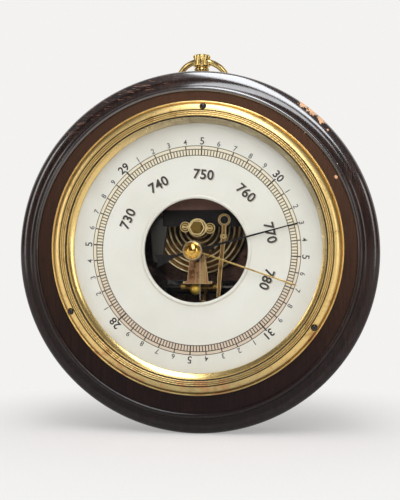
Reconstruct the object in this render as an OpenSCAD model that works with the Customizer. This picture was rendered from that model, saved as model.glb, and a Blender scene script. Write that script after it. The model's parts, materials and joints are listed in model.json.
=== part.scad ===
// Aneroid wall barometer: turned wooden surround, brass bezel, open-centre dial
// and a corrugated-capsule movement, hung from a ring on a knurled pendant.
//
// The wall face lies in the XZ plane, +Z is up and the dial looks along -Y.
// Most pieces are drawn lying down (x to the right, y up the dial, z out of the
// wall) and are then stood up by on_wall() or on_dial().

/* [Wooden surround] */
// Outside diameter of the surround
case_d = 200; // [185:1:230]
// Height of the straight side above the wall
side_h = 27; // [26:0.5:34]
// Radius on the back edge
back_round = 2; // [0.5:0.5:3]
// Width of the outer quarter-round
roll_w = 5.4; // [3:0.1:6]
// Rise of the outer quarter-round
roll_h = 4.2; // [3:0.1:6]
// Width of the cove between the two mouldings
cove_w = 3.8; // [2:0.1:5]
// Rise of the cove
cove_h = 2.2; // [1:0.1:4]
// Width of the inner bead
bead_w = 1.5; // [1:0.1:4]
// Rise of the inner bead
bead_h = 2; // [1:0.1:3]
// Width of the slope from the bead down to the flat band
slope_w = 1.5; // [1:0.1:3]
// Drop from the bead to the flat band
slope_h = 1.2; // [0.4:0.1:2]
// Diameter of the bore that takes the movement can
case_bore_d = 129; // [128:0.5:131]
// How far the dial's centre stands above the centre of the surround
dial_rise = 1; // [0:0.1:2]

/* [Back cover] */
// Diameter of the back cover
cover_d = 137.6; // [134:0.2:140]
// Thickness of the back cover
cover_t = 2; // [1:0.1:2.4]
// Gap round the back cover
cover_gap = 0.2; // [0.1:0.05:0.5]
// Number of screws in the back cover
cover_screws_n = 4; // [3:1:8]
// Shank diameter of the wood screws
wood_screw_d = 1.8; // [1.4:0.1:2.2]
// Head diameter of the wood screws
wood_screw_head_d = 3.4; // [3:0.1:3.8]
// Length of the wood screws in the wood
wood_screw_l = 8; // [5:0.5:12]
// Diameter of the screwdriver hole over the regulator
access_d = 9; // [8:0.5:12]

/* [Dial] */
// Height of the dial's face above the wall
dial_h = 30; // [29.5:0.1:31]
// Thickness of the dial
dial_t = 0.8; // [0.6:0.1:1.2]
// Diameter of the dial
dial_d = 149; // [148:0.2:152.4]
// Diameter of the opening over the movement
aperture_d = 57.2; // [50:0.2:62]
// Width of the raised ring round the opening
aperture_ring_w = 2; // [1:0.1:3]
// Height of the raised ring
aperture_ring_h = 0.8; // [0.2:0.1:1]
// Clockwise turn of the dial and bezel in the surround
dial_turn = 3.3; // [-5:0.1:5]
// Diameter of the circle of dial screws
dial_screw_circle_d = 145.6; // [145:0.2:148]
// Head diameter of the dial screws
dial_screw_head_d = 2.6; // [2:0.1:3]

/* [Movement can] */
// Outside diameter of the can
can_d = 127; // [124:0.5:127.5]
// Sheet thickness of the can
can_t = 0.6; // [0.4:0.1:1]
// Height of the can's floor above the wall
can_floor_h = 3; // [2.8:0.1:3.4]
// Diameter of the can's flange
can_flange_d = 140; // [138:0.5:140.6]
// Depth of the flange's seat below the dial
can_seat_drop = 2.7; // [2.4:0.1:3.2]
// Head diameter of the can's screws
can_screw_head_d = 4; // [3:0.1:4.4]

/* [Bezel] */
// How far the centre of the bezel and glass stands above the centre of the surround
front_rise = 2.2; // [0:0.1:3]
// How far the centre of the bezel and glass stands to the right
front_shift = 0.4; // [-1:0.1:1]
// Outside diameter of the bezel
bezel_d = 161; // [158:0.2:166]
// Inside diameter of the bezel's lip over the glass
bezel_lip_d = 143.8; // [142:0.2:148]
// Width of the rounded outer lip
bezel_rim_w = 1.2; // [1:0.1:2]
// Height of the rounded outer lip above the flat band
bezel_rim_h = 1.4; // [1:0.1:2]
// Width of the ribbed strip inside the plain band
bezel_ribs_w = 3; // [2:0.1:3.4]
// Thickness of the lip over the glass
bezel_lip_t = 1.1; // [0.8:0.1:1.5]
// Diameter of the circle of bezel screws
bezel_screw_circle_d = 154.4; // [153:0.1:157]
// Head diameter of the bezel screws
bezel_screw_head_d = 3.7; // [2.4:0.1:4]
// Shank diameter of the bezel screws
bezel_screw_d = 1.4; // [1.2:0.1:2]
// Length of the bezel screws in the wood
bezel_screw_l = 3.4; // [2:0.1:3.8]

/* [Glass] */
// Diameter of the glass
glass_d = 148.4; // [147:0.2:152]
// Thickness of the glass
glass_t = 2; // [1.5:0.1:2.5]
// Gap between the dial's face and the glass
glass_gap = 5.8; // [5.4:0.1:8]
// Thickness of the black seal between glass and bezel
seal_t = 0.3; // [0.2:0.05:0.6]
// Inside diameter of the seal
seal_inner_d = 142.6; // [142:0.2:146]
// Inside diameter of the sight ring where it meets the dial
sight_d = 137.4; // [136:0.2:141]
// Sheet thickness of the sight ring
sight_t = 0.5; // [0.4:0.1:0.8]

/* [Hands] */
// Length of the pressure hand from its axis
main_hand_l = 60; // [50:0.5:64]
// Width of the pressure hand
main_hand_w = 1; // [0.8:0.1:1.6]
// Thickness of both hands
hand_t = 0.4; // [0.3:0.1:0.6]
// Height of the pressure hand above the dial
main_hand_rise = 1.9; // [1.6:0.1:2.2]
// Clockwise angle of the pressure hand from the top of the case
main_hand_angle = 75; // [0:1:120]
// Length of the pressure hand's tail
tail_l = 23.4; // [16:0.2:26]
// Width of the tail's crescent
tail_w = 8.4; // [5:0.2:10]
// Length of the set hand from its axis
set_hand_l = 58.9; // [50:0.1:64]
// Width of the set hand
set_hand_w = 0.9; // [0.7:0.1:1.4]
// Clockwise angle of the set hand from the top of the case
set_hand_angle = 108.8; // [0:0.2:160]
// Diameter of the hubs
hub_d = 4.4; // [3.6:0.2:5.2]
// Diameter of the set hand's spindle
spindle_d = 2.2; // [1.8:0.1:2.6]
// Diameter of the set knob
knob_d = 10.8; // [8:0.2:13]
// Height of the set knob above the glass
knob_h = 9.4; // [8:0.2:12]

/* [Capsule] */
// Height of the capsule's axis above the hands' axis
capsule_up = 12.7; // [10:0.1:14]
// Diameter of the capsule
capsule_d = 54; // [50:0.5:58]
// Thickness over the corrugations
capsule_t = 7.6; // [6:0.1:8]
// Height of the capsule's stud off the base plate
capsule_stud_h = 2.5; // [2:0.1:3]
// Number of corrugations in each diaphragm
corrugations = 7; // [4:1:8]
// Height of the corrugations from crest to valley
corrugation_h = 1.3; // [0.8:0.1:1.8]
// Diameter of the flat centre of each diaphragm
capsule_flat_d = 11; // [10:0.2:13]
// Diameter of the stem
stem_d = 5; // [4:0.1:5.6]
// Diameter of the stem's hub and clip
stem_hub_d = 10.2; // [9:0.1:11]
// Distance from the stem to each clip screw
clip_ear_x = 6.9; // [6.4:0.1:8]
// Radius of the clip's ears
clip_ear_r = 2.9; // [2.4:0.1:3.2]
// Width of the hexagon nut across its corners
nut_d = 8.9; // [7:0.1:9.6]
// Height of the hexagon nut
nut_h = 2.7; // [2:0.1:3]

/* [Base plate and bridge] */
// Diameter of the base plate
base_d = 100; // [96:1:108]
// Thickness of the base plate
base_t = 1.5; // [1:0.1:2]
// Width of the bridge
bridge_w = 44; // [40:0.5:48]
// Sideways shift of the bridge from the capsule's axis
bridge_shift = 2; // [0:0.5:3]
// Thickness of the bridge
bridge_t = 1.4; // [1:0.1:1.6]
// Width of the bridge's foot
bridge_foot_w = 24; // [20:1:28]
// Height of the bridge's front face above the wall
bridge_h = 21; // [20.8:0.1:21.2]

/* [Lever and rocker] */
// Height of the lever's pivot above the hands' axis
lever_up = 17.2; // [16.6:0.1:17.4]
// Diameter of the lever's shaft
lever_shaft_d = 2.2; // [1.8:0.1:2.4]
// Diameter of the pivots at the ends of both shafts
pivot_d = 1.6; // [1.2:0.1:1.6]
// Running clearance on radius of every pivot and spindle
run_gap = 0.05; // [0.02:0.01:0.08]
// Distance of the long lever to the right of the hands' axis
lever_x = 14.4; // [14:0.1:16]
// Outside diameter of the eye at the top of the long lever
eye_d = 6.8; // [6:0.1:7.4]
// Width of the long lever's strip
strip_w = 2.3; // [1.8:0.1:2.8]
// Thickness of the long lever's strip
strip_t = 0.7; // [0.5:0.1:0.9]
// Distance of the strip's lower end below the hands' axis
strip_down = 26; // [24:0.2:27]
// Distance of the rocker's shaft below the hands' axis
rocker_down = 21; // [20:0.1:22]
// Height of the rocker's shaft above the wall
rocker_h = 13; // [12.5:0.1:13.5]
// Diameter of the rocker's shaft
rocker_shaft_d = 3; // [2.4:0.1:3.2]
// Diameter of the rocker's brass hub
rocker_hub_d = 4.4; // [3.8:0.1:5]
// Diameter of the rocker's balance ball
ball_d = 6.6; // [5:0.1:6.8]
// Thickness of the rocker's arms
rocker_arm_t = 1.2; // [0.8:0.1:1.4]

/* [Cock, arbor and springs] */
// Height of the cock's front face above the wall
cock_h = 22.8; // [22.4:0.1:23]
// Thickness of the cock
cock_t = 1.2; // [1:0.1:1.5]
// Width of the cock at the arbor
cock_top_w = 8; // [6:0.2:9]
// Width of the cock at its shoulders
cock_low_w = 11.9; // [10:0.1:12.4]
// Diameter of the arbor
arbor_d = 1.8; // [1.4:0.1:2]
// Diameter of the chain drum
drum_d = 2.6; // [2.2:0.1:3]
// Diameter of the chain
chain_d = 0.5; // [0.4:0.05:0.6]
// Distance of the chain's lower end below the hands' axis
chain_down = 28; // [26:0.2:29]
// Number of turns of the hairspring
hairspring_turns = 5; // [3:1:5]
// Radius of the hairspring's first turn
hairspring_r = 2.4; // [2.3:0.05:2.6]
// Step from one turn of the hairspring to the next
hairspring_pitch = 0.9; // [0.8:0.05:0.95]
// Thickness of the hairspring's wire
hairspring_wire = 0.3; // [0.2:0.02:0.34]
// Length of the stud arm to the left of the arbor
stud_arm_left = 9.1; // [7:0.1:10]
// Length of the stud arm to the right of the arbor
stud_arm_right = 9.5; // [8.6:0.1:10]

/* [Regulator] */
// Shank diameter of the regulator screw
regulator_d = 4; // [3:0.1:4.4]
// Head diameter of the regulator screw
regulator_head_d = 7.2; // [6:0.1:7.6]

/* [Pendant and ring] */
// Diameter of the pendant's knurled head
pendant_d = 10; // [8.8:0.1:10.6]
// Height of the knurled head
pendant_head_h = 6.8; // [6:0.1:8]
// Height of the neck between the surround and the head
pendant_neck_h = 5.6; // [5.4:0.1:9]
// Distance of the pendant's axis in front of the wall
pendant_depth = 5.2; // [5:0.1:6]
// Number of knurls
knurls = 16; // [12:1:24]
// Outside diameter of the hanging ring
ring_d = 32.5; // [28:0.5:36]
// Thickness of the ring's wire
ring_wire_d = 3.4; // [2.4:0.1:3.6]

/* [Hidden] */
$fn = 64;

// Colours of the finishes
BRASS = [0.80, 0.64, 0.33];
DARK_BRASS = [0.45, 0.34, 0.18];
BLACK = [0.08, 0.08, 0.09];
STEEL = [0.30, 0.31, 0.34];
WOOD = [0.24, 0.15, 0.11];
CREAM = [0.90, 0.89, 0.84];

eps = 0.01;
slot_w = 0.5;
bolt_gap = 0.05;
face_gap = 0.3;

// Heights above the wall, from the back forwards
case_r = case_d / 2;
roll_top = side_h + roll_h;
cove_top = roll_top + cove_h;
bead_top = cove_top + bead_h;
band_h = bead_top - slope_h;
dial_back = dial_h - dial_t;
can_seat_h = dial_back - can_seat_drop;
base_h = can_floor_h + can_t + base_t;
glass_h = dial_h + glass_gap;
glass_top = glass_h + glass_t;
bezel_lip_h = glass_top + seal_t;
bezel_top = bezel_lip_h + bezel_lip_t;

// Radii of the surround's mouldings and seats
cove_r = case_r - roll_w;
bead_r = cove_r - cove_w;
bead_inner_r = bead_r - bead_w;
cover_r = cover_d / 2;
cover_screw_r = (case_bore_d / 2 + cover_r) / 2;
can_flange_r = can_flange_d / 2;
can_screw_r = (case_bore_d / 2 + can_flange_r) / 2;
dial_r = dial_d / 2;
glass_r = glass_d / 2;
bezel_r = bezel_d / 2;

// Movement
capsule_back = base_h + capsule_stud_h;
capsule_top = capsule_back + capsule_t;
stem_r = stem_d / 2;
bridge_back = bridge_h - bridge_t;
clip_h = bridge_h + 0.6;
clip_t = 0.8;
nut_h0 = clip_h + 2 * clip_t;
lever_h = (capsule_top + bridge_back) / 2;
stem_pin_d = 1;
strip_h = bridge_h + 0.6;
arbor_back = cock_h - 6;
collet_h = cock_h + 0.5;
stud_arm_h = cock_h;
stud_arm_t = 0.5;
hairspring_h = stud_arm_h + stud_arm_t + face_gap + hairspring_wire / 2;
hairspring_out_r = hairspring_r + hairspring_pitch * hairspring_turns;
drum_h = hairspring_h + hairspring_wire / 2 + 0.5;
drum_l = 1.8;
chain_h = drum_h + drum_l / 2;
chain_x = drum_d / 2 + chain_d / 2 + 0.1;
chain_arm_x = 3.3;
main_hand_h = dial_h + main_hand_rise;
hub_h = 1.9;
hub_base = main_hand_h - 0.9;
set_hand_h = hub_base + hub_h + 0.5 + hand_t;
set_hub_top = glass_h - face_gap;

// Pendant and ring
pendant_r = pendant_d / 2;
pendant_foot = case_r - 4;
pendant_head_up = case_r + pendant_neck_h;
ring_wire_r = ring_wire_d / 2;
ring_centre_r = ring_d / 2 - ring_wire_r;
hole_up = pendant_head_up + pendant_head_h / 2;
ring_sag = ring_centre_r - sqrt(pow(ring_centre_r, 2) - pow(pendant_r, 2));
ring_lean = atan2(pendant_depth + ring_wire_r + 0.6, hole_up - case_r + back_round);

// Fasteners and small shared sizes
base_screw_r = base_d / 2 - 5;
base_screw_d = 1.6;
base_screw_head_d = 3.6;
dial_screw_d = 1.2;
clip_screw_d = 1.4;
bezel_screw_seat = bezel_top - 1.9;
bezel_screws_n = 3;
seat_screws_n = 3;
seat_screw_angle = 60;
base_screws_n = 3;
base_screw_angle = 30;
cover_screw_angle = 45;
can_screw_head_h = 1.4;
dial_screw_head_h = 1;
dial_screw_l = 4;
base_screw_head_h = 1.5;
bridge_screw_head_d = 3;
bridge_screw_head_h = 1.2;
cock_screw_head_d = 2.4;
clip_screw_head_d = 3.2;
clip_screw_head_h = 0.9;
stud_screw_head_d = 2.2;
stud_screw_head_h = 0.3;
regulator_head_h = 1.3;
tip_gap = 0.1;
bracket_t = 1;
foot_t = 0.8;
leg_w = 3;
leg_t = 1.2;
cock_leg_y = -rocker_down + rocker_hub_d / 2 + face_gap + leg_t / 2;
bush_d = spindle_d + 1.6;
washer_t = 0.5;
stem_socket = 5.2;
stem_pin_h = capsule_top + 1.2;
ear_tilt = 3;
lug_t = 1.5;
rivet_up = 7.8;
rivet_d = 1.8;
lever_lean = 2.9;
hub_bore_d = hub_d - 1.4;
bracket_left = -21.4;
bracket_right = 23.8;
cock_foot_x = 6.7;
stud_screw_y = -4.6;
stud_d = 1.2;
hub_left = 10.6;
ball_left = 1.9;
pendant_stem_d = 4;

// Stands a lying piece up against the wall
module on_wall() {
    rotate([90, 0, 0])
        children();
}

// Stands a lying piece up, centred on the dial
module on_dial() {
    translate([0, 0, dial_rise])
        on_wall()
            children();
}

// Stands a lying piece up, centred on the bezel
module on_front() {
    translate([front_shift, 0, front_rise])
        on_wall()
            children();
}

// Places children on a circle, the first one at a clockwise angle from the top
module round_circle(r, count, first = 0) {
    for (i = [0 : count - 1])
        rotate([0, 0, -first - 360 * i / count])
            translate([0, r, 0])
                children();
}

// Flat ring with square edges
module flat_ring(outer_d, inner_d, h) {
    difference() {
        cylinder(d = outer_d, h = h);
        translate([0, 0, -1])
            cylinder(d = inner_d, h = h + 2);
    }
}

// Screw standing on z = 0: head above, shank below, slot across the head
module slotted_screw(head_d, head_h, shank_d, shank_l) {
    difference() {
        union() {
            cylinder(d = head_d, h = head_h);
            translate([0, 0, -shank_l])
                cylinder(d = shank_d, h = shank_l + eps);
        }
        translate([-head_d, -slot_w / 2, head_h * 0.55])
            cube([2 * head_d, slot_w, head_h]);
    }
}

// Screw with a domed head
module domed_screw(head_d, shank_d, shank_l) {
    head_h = head_d * 0.34;
    dome_r = (pow(head_d / 2, 2) + pow(head_h, 2)) / (2 * head_h);
    difference() {
        union() {
            intersection() {
                translate([0, 0, head_h - dome_r])
                    sphere(r = dome_r);
                cylinder(d = head_d, h = head_h + 1);
            }
            translate([0, 0, -shank_l])
                cylinder(d = shank_d, h = shank_l + eps);
        }
        translate([-head_d, -slot_w / 2, head_h * 0.5])
            cube([2 * head_d, slot_w, head_h]);
    }
}

// Points of an elliptical arc from angle a to angle b
function arc(cx, cy, rx, ry, a, b, n = 8) =
    [for (i = [0 : n]) [cx + rx * cos(a + (b - a) * i / n), cy + ry * sin(a + (b - a) * i / n)]];

// Lever shapes are drawn from the side (y up, height above the wall across) and
// run along x from x0 for a width w
module sideways(x0, w) {
    translate([x0, 0, 0])
        rotate([90, 0, 90])
            linear_extrude(w)
                children();
}

// Case ---------------------------------------------------------------------

module wood_surround() {
    profile = concat(
        arc(case_r - back_round, back_round, back_round, back_round, -90, 0, 4),
        arc(cove_r, side_h, roll_w, roll_h, 0, 90),
        arc(cove_r, cove_top, cove_w, cove_h, -90, -180),
        arc(bead_inner_r, cove_top, bead_w, bead_h, 0, 90),
        arc(bead_inner_r, band_h, slope_w, slope_h, 90, 180, 6),
        [[case_bore_d / 2 - 20, band_h], [case_bore_d / 2 - 20, 0]]
    );
    color(WOOD)
        difference() {
            on_wall()
                rotate_extrude($fn = 128)
                    polygon(profile);
            on_dial() {
                translate([0, 0, -1])
                    cylinder(d = cover_d + 2 * cover_gap, h = cover_t + 1);
                cylinder(d = case_bore_d, h = band_h);
                translate([0, 0, can_seat_h])
                    cylinder(d = can_flange_d + 2 * cover_gap, h = band_h);
                translate([0, 0, dial_back])
                    cylinder(d = dial_d + 4 * cover_gap, h = band_h);
                round_circle(cover_screw_r, cover_screws_n, cover_screw_angle)
                    translate([0, 0, cover_t - 1])
                        cylinder(d = wood_screw_d + 2 * bolt_gap, h = wood_screw_l + 1.2);
                round_circle(can_screw_r, seat_screws_n, seat_screw_angle)
                    translate([0, 0, can_seat_h - wood_screw_l - 0.2])
                        cylinder(d = wood_screw_d + 2 * bolt_gap, h = wood_screw_l + 1);
                round_circle(dial_screw_circle_d / 2, seat_screws_n, seat_screw_angle)
                    translate([0, 0, dial_h - dial_screw_l - 0.2])
                        cylinder(d = dial_screw_d + 2 * bolt_gap, h = dial_screw_l + 1);
            }
            on_front() {
                round_circle(bezel_screw_circle_d / 2, bezel_screws_n, dial_turn)
                    translate([0, 0, band_h - bezel_screw_l - 0.2])
                        cylinder(d = bezel_screw_d + 2 * bolt_gap, h = bezel_screw_l + 1);
                translate([0, 0, glass_h - sight_t - cover_gap])
                    cylinder(d = glass_d + 2 * cover_gap, h = case_r);
                translate([0, 0, band_h])
                    cylinder(d = bezel_d + 2 * cover_gap, h = case_r);
            }
            translate([0, -pendant_depth, pendant_foot - face_gap])
                cylinder(d = pendant_stem_d + 2 * bolt_gap, h = case_r);
        }
}

module back_cover() {
    color(BLACK)
        on_dial()
            difference() {
                cylinder(d = cover_d, h = cover_t);
                translate([0, capsule_up, -1])
                    cylinder(d = access_d, h = cover_t + 2);
                round_circle(cover_screw_r, cover_screws_n, cover_screw_angle)
                    translate([0, 0, -1])
                        cylinder(d = wood_screw_d + 2 * bolt_gap, h = cover_t + 2);
                round_circle(cover_screw_r, cover_screws_n, cover_screw_angle)
                    translate([0, 0, -1])
                        cylinder(d = wood_screw_head_d + 2 * bolt_gap, h = 1 + cover_t / 2);
            }
}

module back_cover_screws() {
    color(BRASS)
        on_dial()
            round_circle(cover_screw_r, cover_screws_n, cover_screw_angle)
                translate([0, 0, cover_t / 2])
                    mirror([0, 0, 1])
                        slotted_screw(wood_screw_head_d, cover_t / 2 - 0.1, wood_screw_d,
                            wood_screw_l + cover_t / 2);
}

module movement_can() {
    color(DARK_BRASS)
        on_dial()
            difference() {
                union() {
                    translate([0, 0, can_floor_h])
                        cylinder(d = can_d, h = can_seat_h - can_floor_h + can_t);
                    translate([0, 0, can_seat_h])
                        cylinder(d = can_flange_d, h = can_t);
                }
                translate([0, 0, can_floor_h + can_t])
                    cylinder(d = can_d - 2 * can_t, h = band_h);
                translate([0, capsule_up, 0])
                    cylinder(d = access_d + 1, h = can_floor_h + 2);
                round_circle(can_screw_r, seat_screws_n, seat_screw_angle)
                    cylinder(d = wood_screw_d + 2 * bolt_gap, h = band_h);
                round_circle(base_screw_r, base_screws_n, base_screw_angle)
                    cylinder(d = base_screw_d + 2 * bolt_gap, h = base_h);
            }
}

module can_screws() {
    color(STEEL)
        on_dial()
            round_circle(can_screw_r, seat_screws_n, seat_screw_angle)
                translate([0, 0, can_seat_h + can_t])
                    slotted_screw(can_screw_head_d, can_screw_head_h, wood_screw_d, wood_screw_l);
}

// Dial, glass and bezel ------------------------------------------------------

module dial() {
    ring_r = aperture_d / 2 + aperture_ring_w;
    ring_rise = arc((aperture_d / 2 + ring_r) / 2, dial_h, aperture_ring_w / 2, aperture_ring_h, 0, 180);
    profile = concat(
        [[aperture_d / 2, dial_back], [dial_r, dial_back], [dial_r, dial_h]],
        ring_rise
    );
    color(CREAM)
        on_dial()
            difference() {
                rotate_extrude($fn = 128)
                    polygon(profile);
                round_circle(dial_screw_circle_d / 2, seat_screws_n, seat_screw_angle)
                    cylinder(d = dial_screw_d + 2 * bolt_gap, h = dial_h + 1);
            }
}

module dial_screws() {
    color(BRASS)
        on_dial()
            round_circle(dial_screw_circle_d / 2, seat_screws_n, seat_screw_angle)
                translate([0, 0, dial_h])
                    slotted_screw(dial_screw_head_d, dial_screw_head_h, dial_screw_d, dial_screw_l);
}

module sight_ring() {
    top_r = seal_inner_d / 2 + 0.4;
    profile = [
        [sight_d / 2, dial_h],
        [sight_d / 2 + sight_t, dial_h],
        [top_r + sight_t, glass_h - sight_t],
        [glass_r, glass_h - sight_t],
        [glass_r, glass_h],
        [top_r, glass_h],
    ];
    color(BRASS)
        on_front()
            rotate_extrude($fn = 128)
                polygon(profile);
}

module glass() {
    color([0.85, 0.92, 0.92], 0.3)
        on_front()
            difference() {
                translate([0, 0, glass_h])
                    cylinder(d = glass_d, h = glass_t);
                translate([-front_shift, dial_rise - front_rise, glass_h - 1])
                    cylinder(d = bush_d + 2 * bolt_gap, h = glass_t + 2);
            }
}

module glass_seal() {
    color(BLACK)
        on_front()
            translate([0, 0, glass_top])
                flat_ring(glass_d, seal_inner_d, seal_t);
}

module bezel() {
    rim_mid = bezel_r - bezel_rim_w / 2;
    band_outer = bezel_r - bezel_rim_w;
    ribs_outer = bezel_lip_d / 2 + bezel_ribs_w;
    rib_w = (ribs_outer - bezel_lip_d / 2) / 3;
    seat_r = glass_r + cover_gap;
    profile = concat(
        [[seat_r, band_h], [bezel_r, band_h]],
        arc(rim_mid, band_h + bezel_rim_h / 2, bezel_rim_w / 2, bezel_rim_h / 2, 0, 180, 10),
        [[band_outer, band_h + bezel_rim_h * 0.45]],
        arc(ribs_outer + 0.3, band_h + bezel_rim_h * 0.45, band_outer - ribs_outer - 0.3,
            bezel_top - band_h - bezel_rim_h * 0.45 - 0.5, 24, 90, 8),
        [[ribs_outer, bezel_top - 1.1]],
        [for (i = [0 : 2]) each
            arc(ribs_outer - (i + 0.5) * rib_w, bezel_top - 0.5, rib_w / 2, 0.5, 0, 180, 6)],
        [[bezel_lip_d / 2, bezel_lip_h], [seat_r, bezel_lip_h]]
    );
    color(BRASS)
        on_front()
            difference() {
                rotate_extrude($fn = 128)
                    polygon(profile);
                round_circle(bezel_screw_circle_d / 2, bezel_screws_n, dial_turn)
                    translate([0, 0, band_h - 1])
                        cylinder(d = bezel_screw_d + 2 * bolt_gap, h = 10);
                round_circle(bezel_screw_circle_d / 2, bezel_screws_n, dial_turn)
                    translate([0, 0, bezel_screw_seat])
                        cylinder(d = bezel_screw_head_d + 4 * bolt_gap, h = 10);
            }
}

module bezel_screws() {
    color(BLACK)
        on_front()
            round_circle(bezel_screw_circle_d / 2, bezel_screws_n, dial_turn)
                translate([0, 0, bezel_screw_seat])
                    domed_screw(bezel_screw_head_d, bezel_screw_d,
                        bezel_screw_l + bezel_screw_seat - band_h);
}

// Hands and knob ---------------------------------------------------------------

// Tapering blade and widening tail of the pressure hand, pointing along +y
module main_hand_outline() {
    w = main_hand_w;
    polygon([
        [-w * 0.8, 0], [-w * 0.35, main_hand_l - 3], [0, main_hand_l],
        [w * 0.35, main_hand_l - 3], [w * 0.8, 0], [w * 0.7, -tail_l * 0.55],
        [tail_w * 0.32, -tail_l * 0.78], [tail_w / 2, -tail_l],
        [-tail_w / 2, -tail_l], [-tail_w * 0.32, -tail_l * 0.78],
        [-w * 0.7, -tail_l * 0.55],
    ]);
}

module main_hand() {
    color(BLACK)
        on_dial()
            translate([0, 0, main_hand_h])
                rotate([0, 0, -main_hand_angle])
                    difference() {
                        union() {
                            linear_extrude(hand_t)
                                main_hand_outline();
                            cylinder(d = hub_d + 1.2, h = hand_t);
                        }
                        translate([0, 0, -1])
                            cylinder(d = hub_bore_d, h = hand_t + 2);
                        translate([0, -tail_l - tail_w * 0.42, -1])
                            cylinder(r = tail_w * 0.62, h = hand_t + 2);
                    }
}

module hand_hub() {
    color(BLACK)
        on_dial()
            translate([0, 0, hub_base])
                difference() {
                    union() {
                        cylinder(d = hub_d, h = main_hand_h - hub_base);
                        cylinder(d = hub_bore_d, h = hub_h);
                    }
                    translate([0, 0, -1])
                        cylinder(d = arbor_d, h = hub_h + 2);
                }
}

module hand_arbor() {
    color(STEEL)
        on_dial() {
            translate([0, 0, arbor_back])
                cylinder(d = arbor_d, h = hub_base + hub_h - arbor_back);
            translate([0, 0, collet_h])
                cylinder(d = arbor_d + 1.2, h = hairspring_h + 0.4 - collet_h);
            translate([0, 0, drum_h])
                cylinder(d = drum_d, h = drum_l);
        }
}

module set_hand() {
    w = set_hand_w / 2;
    color(BRASS)
        on_dial()
            translate([0, 0, set_hand_h - hand_t])
                rotate([0, 0, -set_hand_angle])
                    difference() {
                        union() {
                            linear_extrude(hand_t)
                                polygon([
                                    [-w, -hub_d], [-w, set_hand_l - 2], [0, set_hand_l],
                                    [w, set_hand_l - 2], [w, -hub_d],
                                ]);
                            cylinder(d = hub_d + 0.8, h = hand_t);
                        }
                        translate([0, 0, -1])
                            cylinder(d = spindle_d, h = hand_t + 2);
                    }
}

module set_spindle() {
    color(BRASS)
        on_dial() {
            translate([0, 0, set_hand_h - hand_t])
                cylinder(d = spindle_d, h = glass_top + knob_h - 3 - set_hand_h + hand_t);
            translate([0, 0, set_hand_h])
                cylinder(d = hub_d - 0.8, h = set_hub_top - set_hand_h);
        }
}

module spindle_bush() {
    color(BRASS)
        on_dial()
            translate([0, 0, glass_h])
                flat_ring(bush_d, spindle_d + 2 * run_gap, glass_t + washer_t);
}

module knob_washer() {
    color(BRASS)
        on_dial()
            translate([0, 0, glass_top])
                flat_ring(knob_d * 0.62, bush_d + 2 * bolt_gap, washer_t);
}

module set_knob() {
    knob_r = knob_d / 2;
    foot = glass_top + washer_t + 0.15;
    top = glass_top + knob_h;
    rim_h = top - 3.4;
    neck_r = knob_r * 0.55;
    profile = concat(
        [[0, foot], [neck_r, foot], [neck_r, foot + 1.2], [neck_r * 0.8, foot + 2]],
        [[neck_r * 0.8, rim_h - 1.4], [knob_r - 0.5, rim_h - 0.6]],
        arc(knob_r - 0.5, rim_h, 0.5, 0.6, -90, 90, 6),
        arc(0, rim_h + 0.4, knob_r - 0.9, top - rim_h - 0.4, 0, 90, 8)
    );
    color(BRASS)
        on_dial()
            difference() {
                rotate_extrude()
                    polygon(profile);
                translate([0, 0, foot - 1])
                    cylinder(d = spindle_d, h = top - 3 - foot + 1);
            }
}

// Movement: fixed pieces ---------------------------------------------------------

module base_plate() {
    color(DARK_BRASS)
        on_dial()
            difference() {
                translate([0, 0, base_h - base_t])
                    cylinder(d = base_d, h = base_t);
                translate([0, capsule_up, 0])
                    cylinder(d = regulator_d + 2 * run_gap, h = base_h + 1);
                round_circle(base_screw_r, base_screws_n, base_screw_angle)
                    cylinder(d = base_screw_d + 2 * bolt_gap, h = base_h + 1);
            }
}

module base_screws() {
    color(BRASS)
        on_dial()
            round_circle(base_screw_r, base_screws_n, base_screw_angle)
                translate([0, 0, base_h])
                    slotted_screw(base_screw_head_d, base_screw_head_h, base_screw_d, base_t + can_t);
}

module capsule() {
    rim_r = capsule_d / 2;
    flat_r = capsule_flat_d / 2;
    wave_out = rim_r - 1.4;
    mid = (capsule_back + capsule_top) / 2;
    steps = corrugations * 8;
    // Height of the outer skin off the mid-plane at a share t of the way in
    skin = function(t) capsule_t / 2 - corrugation_h / 2 * (1 - cos(360 * corrugations * t));
    wave = [for (i = [0 : steps])
        [wave_out + (flat_r - wave_out) * i / steps, skin(i / steps)]];
    back = [for (i = [steps : -1 : 0]) [wave[i].x, mid - wave[i].y]];
    profile = concat(
        [[rim_r, mid - 0.6], [rim_r, mid + 0.6]],
        [for (p = wave) [p.x, mid + p.y]],
        [[0, capsule_top], [0, capsule_back]],
        back
    );
    color(DARK_BRASS)
        on_dial()
            translate([0, capsule_up, 0])
                difference() {
                    union() {
                        rotate_extrude($fn = 128)
                            polygon(profile);
                        translate([0, 0, base_h])
                            cylinder(d = capsule_flat_d - 2, h = capsule_stud_h + eps);
                    }
                    translate([0, 0, capsule_top - stem_socket])
                        cylinder(d = stem_d + 2 * run_gap, h = stem_socket + 1);
                    translate([0, 0, base_h - 1])
                        cylinder(d = regulator_d + 2 * run_gap, h = capsule_stud_h + 1);
                }
}

// Section of the bridge: foot, riser behind the capsule's rim, slope, front plate
module bridge_section() {
    foot_y = capsule_up + capsule_d / 2 + 1.2;
    t = bridge_t;
    polygon([
        [foot_y + 5.6, base_h], [foot_y + 5.6, base_h + t], [foot_y + t, base_h + t],
        [foot_y + t, capsule_top + 1 + t], [lever_up + 5.6, bridge_h],
        [lever_up - 3.9, bridge_h], [lever_up - 3.9, bridge_back], [lever_up + 5.2, bridge_back],
        [foot_y, capsule_top + 1], [foot_y, base_h],
    ]);
}

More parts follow.
